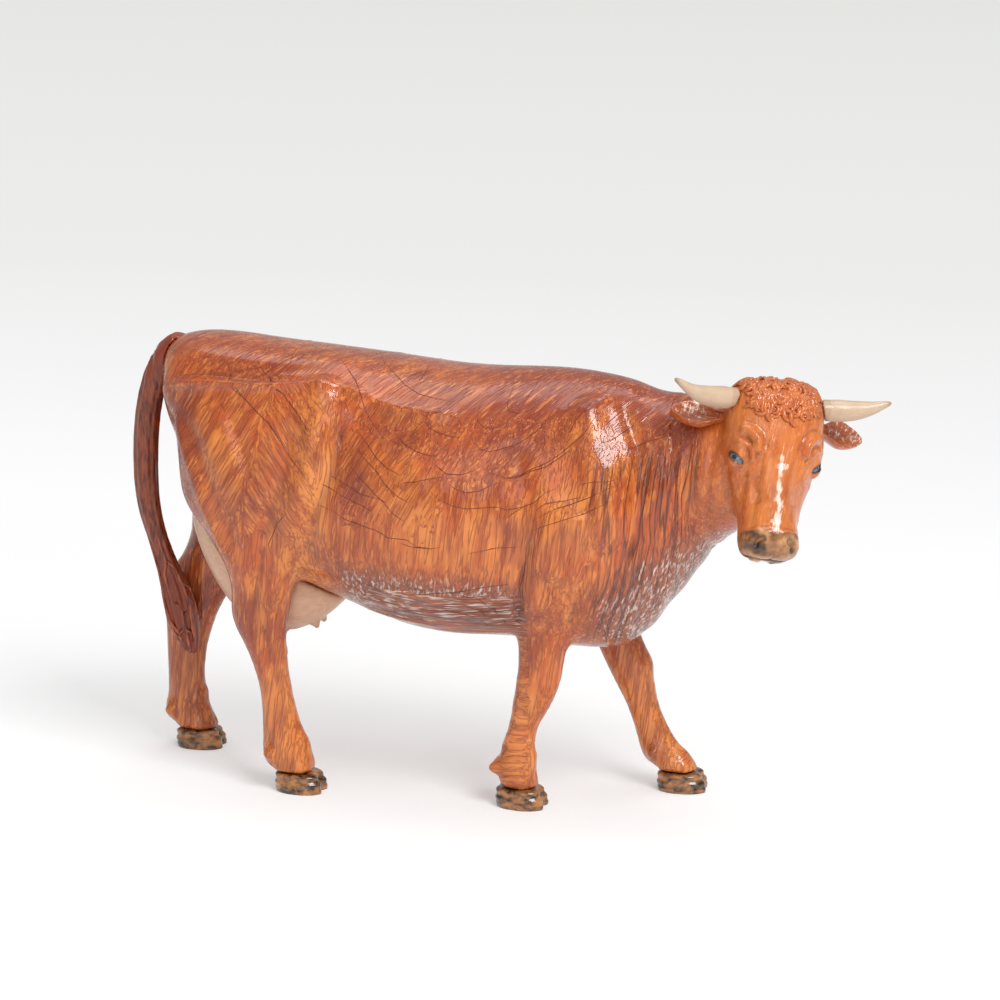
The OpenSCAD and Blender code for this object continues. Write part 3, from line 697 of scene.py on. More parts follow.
def almond(u, v):
    """Below 0 inside the opening and above 0 outside, about in radii of the bead"""
    half = EYE_HALF_OPEN * np.sqrt(np.clip(1 - (u / EYE_HALF_LONG) ** 2, 0, None))
    half = half * np.where(v > 0, 1.0, 0.85)
    return np.where(np.abs(u) < EYE_HALF_LONG, np.abs(v) - half, np.abs(u) - EYE_HALF_LONG + np.abs(v))


def ball_centre(side):
    """Middle of the eyeball, which sits a little deeper than the bead that it stands for"""
    return eye_centre(side) - (0.5 if side == RIGHT else 1.0) * eye_plane(side)[0]


def model_eye(skin, side):
    """Draws the skin over the bead as two lids, and sinks it inside their opening"""
    centre = ball_centre(side)
    outward, along, across = eye_plane(side)
    round_eye = np.linalg.norm(skin.points - centre, axis=1)
    skin.relax(26, 0.9 * ease(round_eye, 2.0 * EYE_R, 1.2 * EYE_R))
    rel = skin.points - centre
    size = np.linalg.norm(rel, axis=1)
    u = rel @ along / EYE_R
    v = rel @ across / EYE_R
    near = (rel @ outward > -1.4) & (size < 3.0 * EYE_R)
    gap = almond(u, v)
    lid = ease(gap, -0.02, 0.10) * ease(np.hypot(u, v), 1.9, 1.2)
    wanted = EYE_R + 0.26 * ease(gap, 0.0, 0.2) + 0.1
    lift = np.maximum(wanted - size, 0) * lid
    sink = np.minimum(EYE_R - 0.75 - size, 0) * ease(gap, 0.02, -0.05) * (size < 1.5 * EYE_R)
    move = np.where(near, lift + sink, 0)
    skin.points += rel / size[:, None] * move[:, None]


def lay_values(skin):
    """How the hair lies at each point: shares of four ways, over hair that hangs down"""
    x, y, z = skin.points.T
    n = skin.normals
    top = ease(n[:, 2], 0.35, 0.75)
    shift = np.where(y > 0, LEFT_THIGH_SHIFT, 0)
    thigh = ease(x, -38, -46) * ease(z, 50, 60) * (1 - top)
    middle = -62 + shift + 0.25 * (z - 80)
    slash = thigh * ease(x - middle, 3, -4)
    back_slash = thigh * ease(x - middle, -3, 4) * ease(z, 66, 76)
    flank = ease(x, -40, -34) * ease(x, -2, -12) * ease(z, 66, 80)
    slash = np.maximum(slash, 0.62 * flank * (1 - top))
    slash = np.maximum(slash, ease(x, 20, 12) * ease(x, -14, -4) * ease(z, 84, 94) * (1 - top))
    level = ease(z, 62, 56) * ease(x, -34, -26) * ease(x, 14, 9)
    return columns(slash, back_slash, level, top)


def tone_values(skin):
    """Where the paint is darker, in some hollows as painted shade, or more golden, where glints of painted
    highlight go, and how deep each point lies
    """
    x, y, z = skin.points.T
    n = skin.normals
    shift = np.where(y > 0, LEFT_THIGH_SHIFT, 0)
    top = ease(n[:, 2], 0.3, 0.8)

    def spot(at, level, wide, high):
        return np.exp(-((x - at) / wide) ** 2 - ((z - level) / high) ** 2)

    # Darker along the top of the back and neck, down the rear and middle of the thighs, low on the belly and
    # round the root of the tail. In the hollows in front of the thigh, behind the shoulder, along the groove
    # below the back and above the shelf of the rump the darkening is painted shade.
    dark = (0.3 + 0.7 * ease(x, -10, 12)) * top * ease(z, 90, 98)
    dark += 0.75 * ease(x - shift, -68, -80) * ease(z, 50, 60) * ease(z, 112, 100)
    dark += 0.4 * spot(-60, 84, 8, 12) * ease(x, -50, -56)
    dark += 0.5 * spot(11, 68, 8, 16) + 0.45 * spot(-33, 80, 6, 20) + 0.4 * spot(-16, 100, 22, 6)
    dark += 0.5 * spot(10, 97, 10, 7) + 0.4 * ease(x, 42, 52) * ease(z, 92, 102) + 0.35 * spot(-2, 86, 7, 6)
    dark += 0.3 * ease(x, 36, 44) * ease(z, 70, 84) + 0.5 * spot(-62, 113, 18, 3)
    dark += 0.4 * ease(y, 4, 9) * ease(z, 54, 44) * ease(x, 0, -10)
    dark += 0.3 * ease(z, 36, 44) * ease(z, 58, 48)
    dark += ease(x, -87, -93) * ease(z, 98, 102)
    gold = 0.95 * spot(-43, 88, 5, 20) + 0.6 * spot(-66, 92, 9, 10) + 0.45 * spot(-48, 60, 8, 12)
    gold += 0.5 * spot(-8, 74, 16, 10) + 0.55 * spot(25, 82, 9, 12) + 0.4 * spot(22, 60, 7, 8)
    gold += 0.65 * ease(z, 40, 24) + 0.3 * spot(35, 103, 10, 6)
    belly = ease(z, 67, 60) * ease(z, 46, 52) * ease(x, -42, -34) * ease(x, 14, 8) * ease(np.abs(y), 2, 8)
    brisket = ease(x, 24, 34) * ease(z, 80, 66) * ease(z - 0.85 * (x - 40), 76, 62)
    brisket = np.maximum(brisket, ease(x, 28, 38) * ease(z - 0.9 * (x - 40), 66, 56)) * ease(z, 44, 47)
    # Belly and brisket take the glints of painted highlight
    shine = np.maximum(belly, brisket) * ease(x, 84, 74)
    pull = np.einsum("ij,ij->i", skin.around(skin.points) - skin.points, n)
    deep = np.clip(pull / 0.11 - 0.3, 0, 0.55)
    return np.clip(columns(dark, gold, shine, deep), 0, 1)


def head_tones(skin):
    """The same for the head: golden cheeks and nose, darker hair at the poll and under the jaw, and painted
    shade in the hollow under each eye
    """
    down, left, out = head_places(skin.points)
    on_face = ease(out, -24, -19) * ease(down, 52, 46) * ease(np.abs(left), 19, 15)
    dark = 0.15 * ease(down, 9, 2) + 0.3 * ease(out, -12, -19)
    # Painted shade in the hollow under each eye
    dark += 0.25 * np.exp(-((down - 24) / 4) ** 2 - ((np.abs(left) - 8.5) / 2.2) ** 2)
    gold = 0.7 * ease(out, -9, -2) * ease(down, 4, 12) + 0.35 * ease(out, -16, -6) * ease(down, 22, 32)
    pull = np.einsum("ij,ij->i", skin.around(skin.points) - skin.points, skin.normals)
    deep = np.clip(pull / 0.08 - 0.2, 0, 0.45)
    return on_face, columns(dark, gold, 0, deep)


def face_values(skin):
    """Paint that only the head has: bare muzzle, white blaze, dark lids, and how far hair follows the face"""
    down, left, out = head_places(skin.points)
    step = 36.6 + 0.9 * np.exp(-(left / 2.2) ** 2) - 0.16 * out
    muzzle = ease(down - step, -0.25, 0.35) * ease(out, -22, -14) * ease(np.abs(left), 14, 11)
    sway = -0.4 + 0.25 * np.sin(down / 2.3)
    blaze = np.exp(-np.abs((left - sway) / np.interp(down, [12, 20, 34], [0.5, 0.7, 1.1])) ** 2.5)
    blaze *= ease(down, 14, 19) * ease(out, -3, -1.2)
    lid = np.zeros(len(down))
    for side in (RIGHT, LEFT):
        rel = skin.points - ball_centre(side)
        along, across = eye_plane(side)[1:]
        gap = almond(rel @ along / EYE_R, rel @ across / EYE_R)
        lid = np.maximum(lid, ease(gap, 0.30, 0.06) * (np.linalg.norm(rel, axis=1) < 2.2 * EYE_R))
        for places, share, wide, narrow in ((NOSTRIL, 0.9, 1.3, 0.6), (MOUTH, 0.75, 0.95, 0.4)):
            path = [on_head(s, side * t, h) for s, t, h in places]
            lid = np.maximum(lid, share * ease(reach(skin.points, path)[0], wide, narrow))
    face = ease(out, -22, -15) * ease(down, -4, 3) * ease(np.abs(left), 19, 15)
    return columns(muzzle, blaze, lid, face)


# Ways that hair lies: hanging, leaning forwards, leaning back, level, over the back and down the face
HAIR_WAYS = (
    unit([0.13, 0, 1]), unit([0.50, 0, 0.86]), unit([-0.52, 0, 0.85]), unit([1, 0, 0.06]),
    unit([0.60, 0.62, 0.5]), unit(AXES @ np.array([0.0, 0.15, 1.0]))
)


HIDE_PAINT = "Glazed and varnished hide"
FACE_ORANGE = "#BE6024"
BELLY_GREY = "#8A4A34"
BLAZE_WHITE = "#F1D9C6"
LID_BROWN = "#2A1A12"
MUZZLE_BROWNS = (
    (0.30, "#341C0E"), (0.41, "#6A3F22"), (0.53, "#99663A"), (0.65, "#BC8652"), (0.76, "#CDA88E")
)


def hide_paint():
    """Oil glaze brushed over an orange-brown ground on moulded composition, under gloss varnish. The strokes
    follow the hair, darker paint stays in the carving, and the varnish breaks up the light. Some hollows of
    the trunk and face are darkened as painted shade, and belly and brisket carry glints of painted highlight."""
    if HIDE_PAINT in bpy.data.materials:
        return bpy.data.materials[HIDE_PAINT]
    hide = bpy.context.scene.cow_hide
    material, put = new_material(HIDE_PAINT)
    place = put("ShaderNodeTexCoord", out="Object")
    point = put("ShaderNodeVectorMath", {0: place, 3: 1 / MM}, operation="SCALE")
    stored = []
    for name in ("lay", "tone", "paint", "folds"):
        read = put("ShaderNodeAttribute", out=None, attribute_name=name).outputs
        parts = put("ShaderNodeSeparateColor", {0: read["Color"]}, None).outputs
        stored.append((parts[0], parts[1], parts[2], read["Alpha"]))
    lays = stored[0]
    dark, gold, pale, hollow = stored[1]
    muzzle, blaze, lid = stored[2][:3]
    creased, across_fold, along_fold = stored[3][:3]
    follow = put("ShaderNodeAttribute", out="Fac", attribute_name="face")

    # Clumps of hair choose between two ways at random where both are about as strong
    clump = put("ShaderNodeTexNoise", {"Vector": point, "Scale": 0.55, "Detail": 1.0})
    way, *other_ways = HAIR_WAYS
    for share, other in zip((*lays, follow), other_ways):
        odds = put("ShaderNodeMath", {0: share, 1: clump}, operation="ADD")
        chosen = put("ShaderNodeMath", {0: odds, 1: 1.0}, operation="GREATER_THAN")
        way = put("ShaderNodeMix", {0: chosen, 4: way, 5: other}, 1, data_type="VECTOR")

    # Space squeezed along the hair, so that noise in it comes out as strokes, or as longer fine lines
    along = put("ShaderNodeVectorMath", {0: point, 1: way}, "Value", operation="DOT_PRODUCT")
    shorter = put("ShaderNodeMapRange", {0: follow, 3: 1.0, 4: 0.72})
    squeeze = put("ShaderNodeMath", {0: along, 1: hide.stroke_w / hide.stroke_l - 1}, operation="MULTIPLY")
    squeeze = put("ShaderNodeMath", {0: squeeze, 1: shorter}, operation="MULTIPLY")
    longer = put("ShaderNodeMath", {0: along, 1: -0.955}, operation="MULTIPLY")
    spaces = []
    for amount in (squeeze, longer):
        shift = put("ShaderNodeVectorMath", {0: way, 3: amount}, operation="SCALE")
        spaces.append(put("ShaderNodeVectorMath", {0: point, 1: shift}, operation="ADD"))
    hair, cuts = spaces
    along_fold = put("ShaderNodeMath", {0: along_fold, 1: 0.065}, operation="MULTIPLY")
    in_fold = put("ShaderNodeCombineXYZ", {0: across_fold, 1: along_fold})
    noises = []
    for space, scale, detail, rough in (
        (hair, 1 / hide.stroke_w, 2.0, 0.55), (hair, 0.32 / hide.stroke_w, 3.0, 0.5),
        (point, 0.085, 2.0, 0.5), (point, 0.3, 2.0, 0.5), (cuts, 0.85, 2.0, 0.5), (in_fold, 0.5, 1.5, 0.6)
    ):
        inputs = {"Vector": space, "Scale": scale, "Detail": detail, "Roughness": rough}
        noises.append(put("ShaderNodeTexNoise", inputs))
    fine, broad, patch, mottle = noises[:4]

    # Thin lines run where a noise crosses its middle: incised hairs, broken by the strokes and calmer on
    # the face, and long creases on the folds
    lines = []
    for noise, width in zip(noises[4:], (0.085, 0.055)):
        off = put("ShaderNodeMath", {0: noise, 1: 0.5}, operation="SUBTRACT")
        off = put("ShaderNodeMath", {0: off}, operation="ABSOLUTE")
        lines.append(put("ShaderNodeMapRange", {0: off, 1: 0.0, 2: width, 3: 1.0, 4: 0.0}))
    broken = put("ShaderNodeMapRange", {0: fine, 1: 0.34, 2: 0.46})
    calm = put("ShaderNodeMapRange", {0: follow, 3: 1.0, 4: 0.4})
    cut = put("ShaderNodeMath", {0: lines[0], 1: broken}, operation="MULTIPLY")
    cut = put("ShaderNodeMath", {0: cut, 1: calm}, operation="MULTIPLY")
    crease = put("ShaderNodeMath", {0: lines[1], 1: creased}, operation="MULTIPLY")

    # Gold or orange ground, in broad strokes
    ground = put("ShaderNodeMath", {0: broad, 1: patch}, operation="ADD")
    ground = put("ShaderNodeMath", {0: gold, 1: 0.42, 2: ground}, operation="MULTIPLY_ADD")
    golden = put("ShaderNodeMapRange", {0: ground, 1: 0.90, 2: 1.34})
    # Russet glaze in broad patches and in fine hair lines, closer together where the tone is dark, which in
    # some hollows is painted shade
    wash = put("ShaderNodeMath", {0: dark, 1: 0.5, 2: patch}, operation="MULTIPLY_ADD")
    glaze = put("ShaderNodeMath", {0: broad, 1: -0.9, 2: wash}, operation="MULTIPLY_ADD")
    glaze = put("ShaderNodeMapRange", {0: glaze, 1: -0.02, 2: 0.50, 4: 0.95})
    shown = put("ShaderNodeMath", {0: dark, 1: 0.2, 2: 0.62}, operation="MULTIPLY_ADD")
    shown = put("ShaderNodeMath", {0: cut, 1: shown}, operation="MULTIPLY")
    # A more even coat on the face, and golden lights between the hairs
    even = put("ShaderNodeMath", {0: follow, 1: 0.5}, operation="MULTIPLY")
    lights = put("ShaderNodeMapRange", {0: fine, 1: 0.56, 2: 0.63, 4: 0.55})
    # Dark wash in folds and creases
    deep = put("ShaderNodeMath", {0: hollow, 1: 0.45}, operation="MULTIPLY")
    deep = put("ShaderNodeMath", {0: crease, 1: 0.7, 2: deep}, operation="MULTIPLY_ADD")
    deep = put("ShaderNodeMath", {0: deep, 1: 0.75}, operation="MINIMUM")
    # Glints: pale flecks of painted highlight on the raised hair of the belly and brisket, over a greyer
    # colour
    grey = put("ShaderNodeMath", {0: pale, 1: 0.7}, operation="MULTIPLY")
    raised = put("ShaderNodeMath", {0: pale, 1: 0.22, 2: fine}, operation="MULTIPLY_ADD")
    glints = put("ShaderNodeMapRange", {0: raised, 1: 0.70, 2: 0.88, 4: 0.8})
    glints = put("ShaderNodeMath", {0: glints, 1: pale}, operation="MULTIPLY")
    clear = put("ShaderNodeMath", {0: 1.0, 1: crease}, operation="SUBTRACT")
    glints = put("ShaderNodeMath", {0: glints, 1: clear}, operation="MULTIPLY")
    # White blaze, broken up by the hair, and mottled muzzle
    blaze = put("ShaderNodeMath", {0: blaze, 1: 0.42, 2: fine}, operation="MULTIPLY_ADD")
    blaze = put("ShaderNodeMapRange", {0: blaze, 1: 0.72, 2: 0.92, 4: 0.9})
    browns = [(at, linear(colour)) for at, colour in MUZZLE_BROWNS]
    mottle = put("ShaderNodeValToRGB", {0: mottle}, stops=browns)
    base = hide.orange
    for share, colour in (
        (golden, hide.gold), (glaze, hide.russet), (even, linear(FACE_ORANGE)), (lights, hide.gold),
        (shown, hide.russet), (deep, hide.umber), (grey, linear(BELLY_GREY)), (deep, hide.umber),
        (glints, hide.pale), (blaze, linear(BLAZE_WHITE)), (muzzle, mottle), (lid, linear(LID_BROWN))
    ):
        base = put("ShaderNodeMix", {0: share, 6: base, 7: colour}, 2, data_type="RGBA")

    # Relief: fine carved hair, deeper on the belly and brisket, broad strokes and cut creases
    hairy = put("ShaderNodeMath", {0: 1.0, 1: muzzle}, operation="SUBTRACT")
    carve = put("ShaderNodeMath", {0: pale, 1: 1.3, 2: 0.9}, operation="MULTIPLY_ADD")
    carve = put("ShaderNodeMath", {0: carve, 1: hairy}, operation="MULTIPLY")
    relief = put("ShaderNodeMath", {0: fine, 1: 0.55}, operation="MULTIPLY")
    relief = put("ShaderNodeMath", {0: cut, 1: -0.8, 2: relief}, operation="MULTIPLY_ADD")
    relief = put("ShaderNodeMath", {0: relief, 1: carve}, operation="MULTIPLY")
    relief = put("ShaderNodeMath", {0: broad, 1: 0.35, 2: relief}, operation="MULTIPLY_ADD")
    relief = put("ShaderNodeMath", {0: crease, 1: -1.1, 2: relief}, operation="MULTIPLY_ADD")
    bump = put("ShaderNodeBump", {"Height": relief, "Strength": 1.0, "Distance": 0.2 * MM})
    coat = put("ShaderNodeBump", {"Height": relief, "Strength": 1.0, "Distance": 0.05 * MM})
    shader = put("ShaderNodeBsdfPrincipled", {
        "Base Color": base, "Roughness": 0.5, "IOR": 1.5, "Specular IOR Level": 0.25, "Normal": bump,
        "Coat Weight": 1.0, "Coat Roughness": hide.varnish, "Coat IOR": 1.5, "Coat Normal": coat,
    })
    put("ShaderNodeOutputMaterial", {0: shader})
    return material


def fine_zone(middles):
    """Where the body's skin needs half its grain: neck, brisket, belly creases and pasterns"""
    x, y, z = middles.T
    neck = (x > 35) & (x < 62) & (z < 104)
    brisket = (x > 26) & (z < 66)
    belly = (x > -22) & (x < 8) & (z < 59) & (np.abs(y) > 7)
    pastern = (z < 13) & (z > 5)
    shelf = (x < -34) & (x > -88) & (z > 105) & (z < 112) & (np.abs(y) > 9)
    return neck | brisket | belly | pastern | shelf


def trunk_weight(points):
    """Full on the trunk and low on the slender legs"""
    x, _, z = points.T
    hind = ease(z, 48, 66)
    fore = ease(z, 44, 52)
    rump = ease(x, -90, -80)
    return 0.12 + 0.88 * np.where(x < -30, np.minimum(hind, rump), fore)


def note_paint(skin, lays, tones, creased=1.0):
    """Stores how the hair lies, the tones and the creases for the paint to read"""
    skin.set_values("lay", lays)
    skin.set_values("tone", tones)
    strength, across, along = fold_zones(skin)
    skin.set_values("folds", columns(strength * creased, across, along))


# The skin of the legs ends inside the hooves at this height
CORONET = 4.2


def make_body():
    hide = bpy.context.scene.cow_hide
    cut = (COLLAR_AT - COLLAR_OVERLAP * COLLAR_WAY, -COLLAR_WAY)
    mesh = moulded(SHELLS + LEGS, hide.grain, "body_hide", cut)
    skin = Skin(mesh)
    skin.fillet(24)
    skin.relax(46, trunk_weight(skin.points))
    refine(mesh, fine_zone)
    skin = Skin(mesh)
    skin.relax(3, 0.6)
    model_trunk(skin)
    model_legs(skin)
    model_folds(skin)
    note_paint(skin, lay_values(skin), tone_values(skin))
    # Inside the head's skin the neck narrows towards its own middle
    beyond = (COLLAR_AT - skin.points) @ COLLAR_WAY
    middle = skin.points.copy()
    for axis in (1, 2):
        middle[:, axis] = np.interp(skin.points[:, 0], SPINE[:, 0], SPINE[:, axis])
    skin.points += (0.5 * ease(beyond, 3.2, 5.6))[:, None] * (middle - skin.points)
    skin.points[:, 2] = np.maximum(skin.points[:, 2], CORONET)
    skin.refresh()
    finish_piece(link("body_hide", mesh), SHELLS + LEGS, hide_paint())


def make_head():
    hide = bpy.context.scene.cow_hide
    nodes = SHELLS + ("head", "eye_right", "eye_left")
    mesh = moulded(nodes, hide.face_grain, "head_hide", (COLLAR_AT, COLLAR_WAY))
    skin = Skin(mesh)
    skin.fillet(40, 0.05)
    on_face = head_tones(skin)[0]
    skin.relax(170, 1 - on_face)
    skin.relax(30, 0.8 * on_face)
    model_trunk(skin)
    model_folds(skin)
    model_head(skin)
    on_face, tones = head_tones(skin)
    share = on_face[:, None]
    tones = tone_values(skin) * (1 - share) + tones * share
    note_paint(skin, lay_values(skin) * (1 - share), tones, 1 - on_face)
    values = face_values(skin)
    skin.set_values("paint", values[:, :3])
    skin.set_values("face", values[:, 3])
    # Towards the collar the head's skin settles on the body's, and at last dives under it
    inside = (skin.points - COLLAR_AT) @ COLLAR_WAY
    settled = ease(inside, -6.5, -3.2)
    tree = surface("body_hide")
    for i in np.nonzero(settled)[0]:
        spot, normal = tree.find_nearest(Vector(skin.points[i]))[:2]
        skin.points[i] += settled[i] * (np.array(spot + normal * COLLAR_SKIN) - skin.points[i])
    skin.refresh()
    skin.push(-COLLAR_DIVE * ease(inside, -1.3, 0))
    skin.refresh()
    finish_piece(link("head_hide", mesh), ("head",), hide_paint())


def plain_paint(name, low, high, scale, rough, coat, bump=0.1, stretch=(1, 1, 1), turn=(0, 0, 0), mask=None):
    """Two brushed colours under varnish, for the small pieces. A mask is a stored value and the colour
    that shows where it is full. The comment at each use says what the paint is."""
    material, put = new_material(name)
    place = put("ShaderNodeTexCoord", out="Object")
    point = put("ShaderNodeVectorMath", {0: place, 3: 1 / MM}, operation="SCALE")
    turned = put("ShaderNodeMapping", {0: point, "Rotation": turn, "Scale": stretch})
    noise = put("ShaderNodeTexNoise", {"Vector": turned, "Scale": scale, "Detail": 3.0, "Roughness": 0.6})
    share = put("ShaderNodeMapRange", {0: noise, 1: 0.38, 2: 0.64})
    base = put("ShaderNodeMix", {0: share, 6: low, 7: high}, 2, data_type="RGBA")
    if mask:
        share = put("ShaderNodeAttribute", out="Fac", attribute_name=mask[0])
        base = put("ShaderNodeMix", {0: share, 6: base, 7: mask[1]}, 2, data_type="RGBA")
    normal = put("ShaderNodeBump", {"Height": noise, "Strength": 1.0, "Distance": bump * MM})
    shader = put("ShaderNodeBsdfPrincipled", {
        "Base Color": base, "Roughness": rough, "IOR": 1.5, "Specular IOR Level": 0.3, "Normal": normal,
        "Coat Weight": coat, "Coat Roughness": 0.12, "Coat IOR": 1.5,
    })
    put("ShaderNodeOutputMaterial", {0: shader})
    return material


def dimmed(colour, share):
    return [part * share for part in colour[:3]] + [1]


def make_horns():
    trim = bpy.context.scene.cow_trim
    # Satin cream enamel, with a darker tip and a thin dark joint at the root
    material = plain_paint(
        "Cream painted horn", trim.horn, dimmed(trim.horn, 0.9), 0.25, 0.38, 0.35, 0.05,
        mask=("tip", trim.horn_tip)
    )
    for side_name, side in SIDES.items():
        mesh = moulded(("horn_" + side_name,), 0.35, "horn_piece_" + side_name)
        skin = Skin(mesh)
        skin.relax(9, 0.7)
        beside = side * head_places(skin.points)[1]
        end = beside.max()
        taper = ease(beside, end - 8, end)
        skin.push(0.25 * ease(beside, 12, 16) * (1 - ease(beside, 14.4, 12.4)) - 0.5 * taper)
        hook = (1.6 if side == RIGHT else 0.4) * taper ** 2
        skin.points += hook[:, None] * (AXES[:, 2] + 0.6 * side * AXES[:, 1])
        skin.refresh()
        tips = 0.75 * ease(beside, end - 2.2, end) + 0.3 * ease(beside, 13.2, 12.6)
        skin.set_values("tip", np.clip(tips, 0, 1))
        finish_piece(link("horn_piece_" + side_name, mesh), ("horn_" + side_name,), material)


def make_ears():
    """Hide outside, and lighter hair in the hollow, which also takes glints of painted highlight"""
    for side_name, side in SIDES.items():
        mesh = moulded(("ear_" + side_name,), 0.32, "ear_piece_" + side_name)
        skin = Skin(mesh)
        skin.relax(10, 0.7)
        # An ear is slim at its root and widens to its cup
        down, left = head_places(skin.points)[:2]
        beside = side * left
        middle = np.polyval(np.polyfit(beside, down, 1), beside)
        slim = 0.45 * ease(beside, 13.5, 19) - 0.45
        skin.points -= ((down - middle) * slim)[:, None] * AXES[:, 2]
        skin.refresh()
        hollow = ease(skin.normals @ AXES[:, 0], 0.45, 0.8)
        skin.push(0.12 * np.sin(skin.points @ (AXES @ np.array([0, 0.5, 2.2])) * 1.8) * hollow)
        skin.refresh()
        # Lighter hair in the hollow, with glints of painted highlight as on the belly
        rubbed = 0.5 * hollow * ease(side * head_places(skin.points)[1], 15, 17.5)
        blank = 0 * rubbed
        skin.set_values("lay", columns(blank, 0, 0, 0))
        skin.set_values("tone", columns(0.35, 0, rubbed, 0))
        skin.set_values("paint", columns(0, rubbed, 0))
        skin.set_values("face", blank + 1)
        finish_piece(link("ear_piece_" + side_name, mesh), ("ear_" + side_name,), hide_paint())


def make_eyes():
    trim = bpy.context.scene.cow_trim
    # Grey-blue enamel with a dark pupil and rim, as glossy as glass
    material, put = new_material("Glossy eye enamel")
    rim = linear(EYE_RIM)
    bands = [(0.0, trim.pupil), (0.22, trim.pupil), (0.30, trim.eye), (0.62, trim.eye), (0.78, rim)]
    at = put("ShaderNodeAttribute", out="Fac", attribute_name="ring")
    colour = put("ShaderNodeValToRGB", {0: at}, stops=bands)
    shader = put("ShaderNodeBsdfPrincipled", {
        "Base Color": colour, "Roughness": 0.25, "IOR": 1.5, "Coat Weight": 1.0, "Coat Roughness": 0.03,
    })
    put("ShaderNodeOutputMaterial", {0: shader})
    for side_name, side in SIDES.items():
        bm = bmesh.new()
        bmesh.ops.create_icosphere(bm, subdivisions=4, radius=EYE_R)
        outward, along, across = eye_plane(side)
        centre = ball_centre(side)
        ring = bm.verts.layers.float.new("ring")
        squeeze = np.stack([along, across, outward], axis=1)
        for vert in bm.verts:
            u, v, w = vert.co / EYE_R
            vert[ring] = math.hypot(u * 0.8, v) if w > 0 else 1.0
            place = centre + squeeze @ np.array(vert.co)
            vert.co = Vector(place * MM)
        mesh = bpy.data.meshes.new("eye_piece_" + side_name)
        bm.to_mesh(mesh)
        bm.free()
        mesh.shade_smooth()
        finish_piece(link("eye_piece_" + side_name, mesh), ("eye_" + side_name,), material)


def make_udder():
    trim = bpy.context.scene.cow_trim
    # Thin satin paint brushed along the udder, with reddish teats
    material = plain_paint(
        "Pink-cream brushed paint", trim.udder, dimmed(trim.udder, 0.86), 0.9, 0.42, 0.35, 0.08, (0.35, 1, 1),
        (0, 0.6, 0), ("red", trim.teat)
    )
    mesh = moulded(("udder",), 0.6, "udder_piece")
    skin = Skin(mesh)
    skin.relax(26, 0.9 - 0.8 * ease(skin.points[:, 2], 42.0, 40.2))
    tree = skin.tree()
    for side in (RIGHT, LEFT):
        skin.dab(skin.laid([(-46.5, side * 4.4, 38)], tree)[0], 1.1, 2.0)
    skin.refresh()
    low = skin.points[:, 2].min()
    skin.set_values("red", ease(skin.points[:, 2], low + 4.2, low + 1.6))
    finish_piece(link("udder_piece", mesh), ("udder",), material)


def strand_tree():
    """Sweeps each guide line to a tapered strand. Its points carry their own girth."""
    tree = bpy.data.node_groups.new("Strands", "GeometryNodeTree")
    put = partial(add, tree)
    for name, kind in (("Guides", "Geometry"), ("Step", "Float"), ("Sides", "Int"), ("Material", "Material")):
        tree.interface.new_socket(name, in_out="INPUT", socket_type="NodeSocket" + kind)
    tree.interface.new_socket("Strands", in_out="OUTPUT", socket_type="NodeSocketGeometry")
    given = put("NodeGroupInput", out=None).outputs
    lines = put("GeometryNodeMeshToCurve", {0: given["Guides"]})
    smooth = put("GeometryNodeCurveSplineType", {"Curve": lines}, spline_type="CATMULL_ROM")
    even = put("GeometryNodeResampleCurve", {"Curve": smooth, "Length": given["Step"]}, mode="LENGTH")
    girth = put("GeometryNodeInputNamedAttribute", {"Name": "girth"}, "Attribute", data_type="FLOAT")
    ring = put("GeometryNodeCurvePrimitiveCircle", {"Resolution": given["Sides"], "Radius": 1.0})
    swept = {"Curve": even, "Profile Curve": ring, "Scale": girth, "Fill Caps": True}
    soft = put("GeometryNodeSetShadeSmooth", {0: put("GeometryNodeCurveToMesh", swept)})
    real = put("GeometryNodeRealizeInstances", {0: soft})
    dressed = put("GeometryNodeSetMaterial", {0: real, "Material": given["Material"]})
    put("NodeGroupOutput", {0: dressed}, None)
    return tree


def strands(name, guides, girths, step, sides, material):
    """A piece of strands along guide lines in millimetres, each with a girth at each of its points"""
    tree = bpy.data.node_groups.get("Strands") or strand_tree()
    points = [Vector(p) * MM for guide in guides for p in guide]
    edges = []
    count = 0
    for guide in guides:
        edges += [(count + i, count + i + 1) for i in range(len(guide) - 1)]
        count += len(guide)
    mesh = bpy.data.meshes.new(name)
    mesh.from_pydata(points, edges, [])
    stored = mesh.attributes.new("girth", "FLOAT", "POINT")
    stored.data.foreach_set("value", np.concatenate(girths).astype(np.float32) * MM)
    source = link(name + "_guides", mesh)
    modifier = source.modifiers.new("Strands", "NODES")
    modifier.node_group = tree
    names = {item.name: item.identifier for item in tree.interface.items_tree if item.in_out == "INPUT"}
    modifier[names["Step"]] = step * MM
    modifier[names["Sides"]] = sides
    modifier[names["Material"]] = material
    made = finished(source, name)
    bm = bmesh.new()
    bm.from_mesh(made)
    bmesh.ops.recalc_face_normals(bm, faces=bm.faces)
    bm.to_mesh(made)
    bm.free()
    return link(name, made)


def surface(piece_name):
    """A search tree over a finished piece, in millimetres"""
    mesh = bpy.data.objects[piece_name].data
    points = [v.co / MM for v in mesh.vertices]
    return BVHTree.FromPolygons(points, [tuple(p.vertices) for p in mesh.polygons])


# Half the width between the horns, where curls grow
POLL_HALF = 12.2
# How thick a curl and a lock are along their length, as shares of their girth
CURL_TAPER = np.array([0.7, 0.95, 1, 0.95, 0.8, 0.6, 0.3])
LOCK_TAPER = np.array([0.3, 0.7, 0.95, 1, 1, 0.9, 0.7, 0.25])


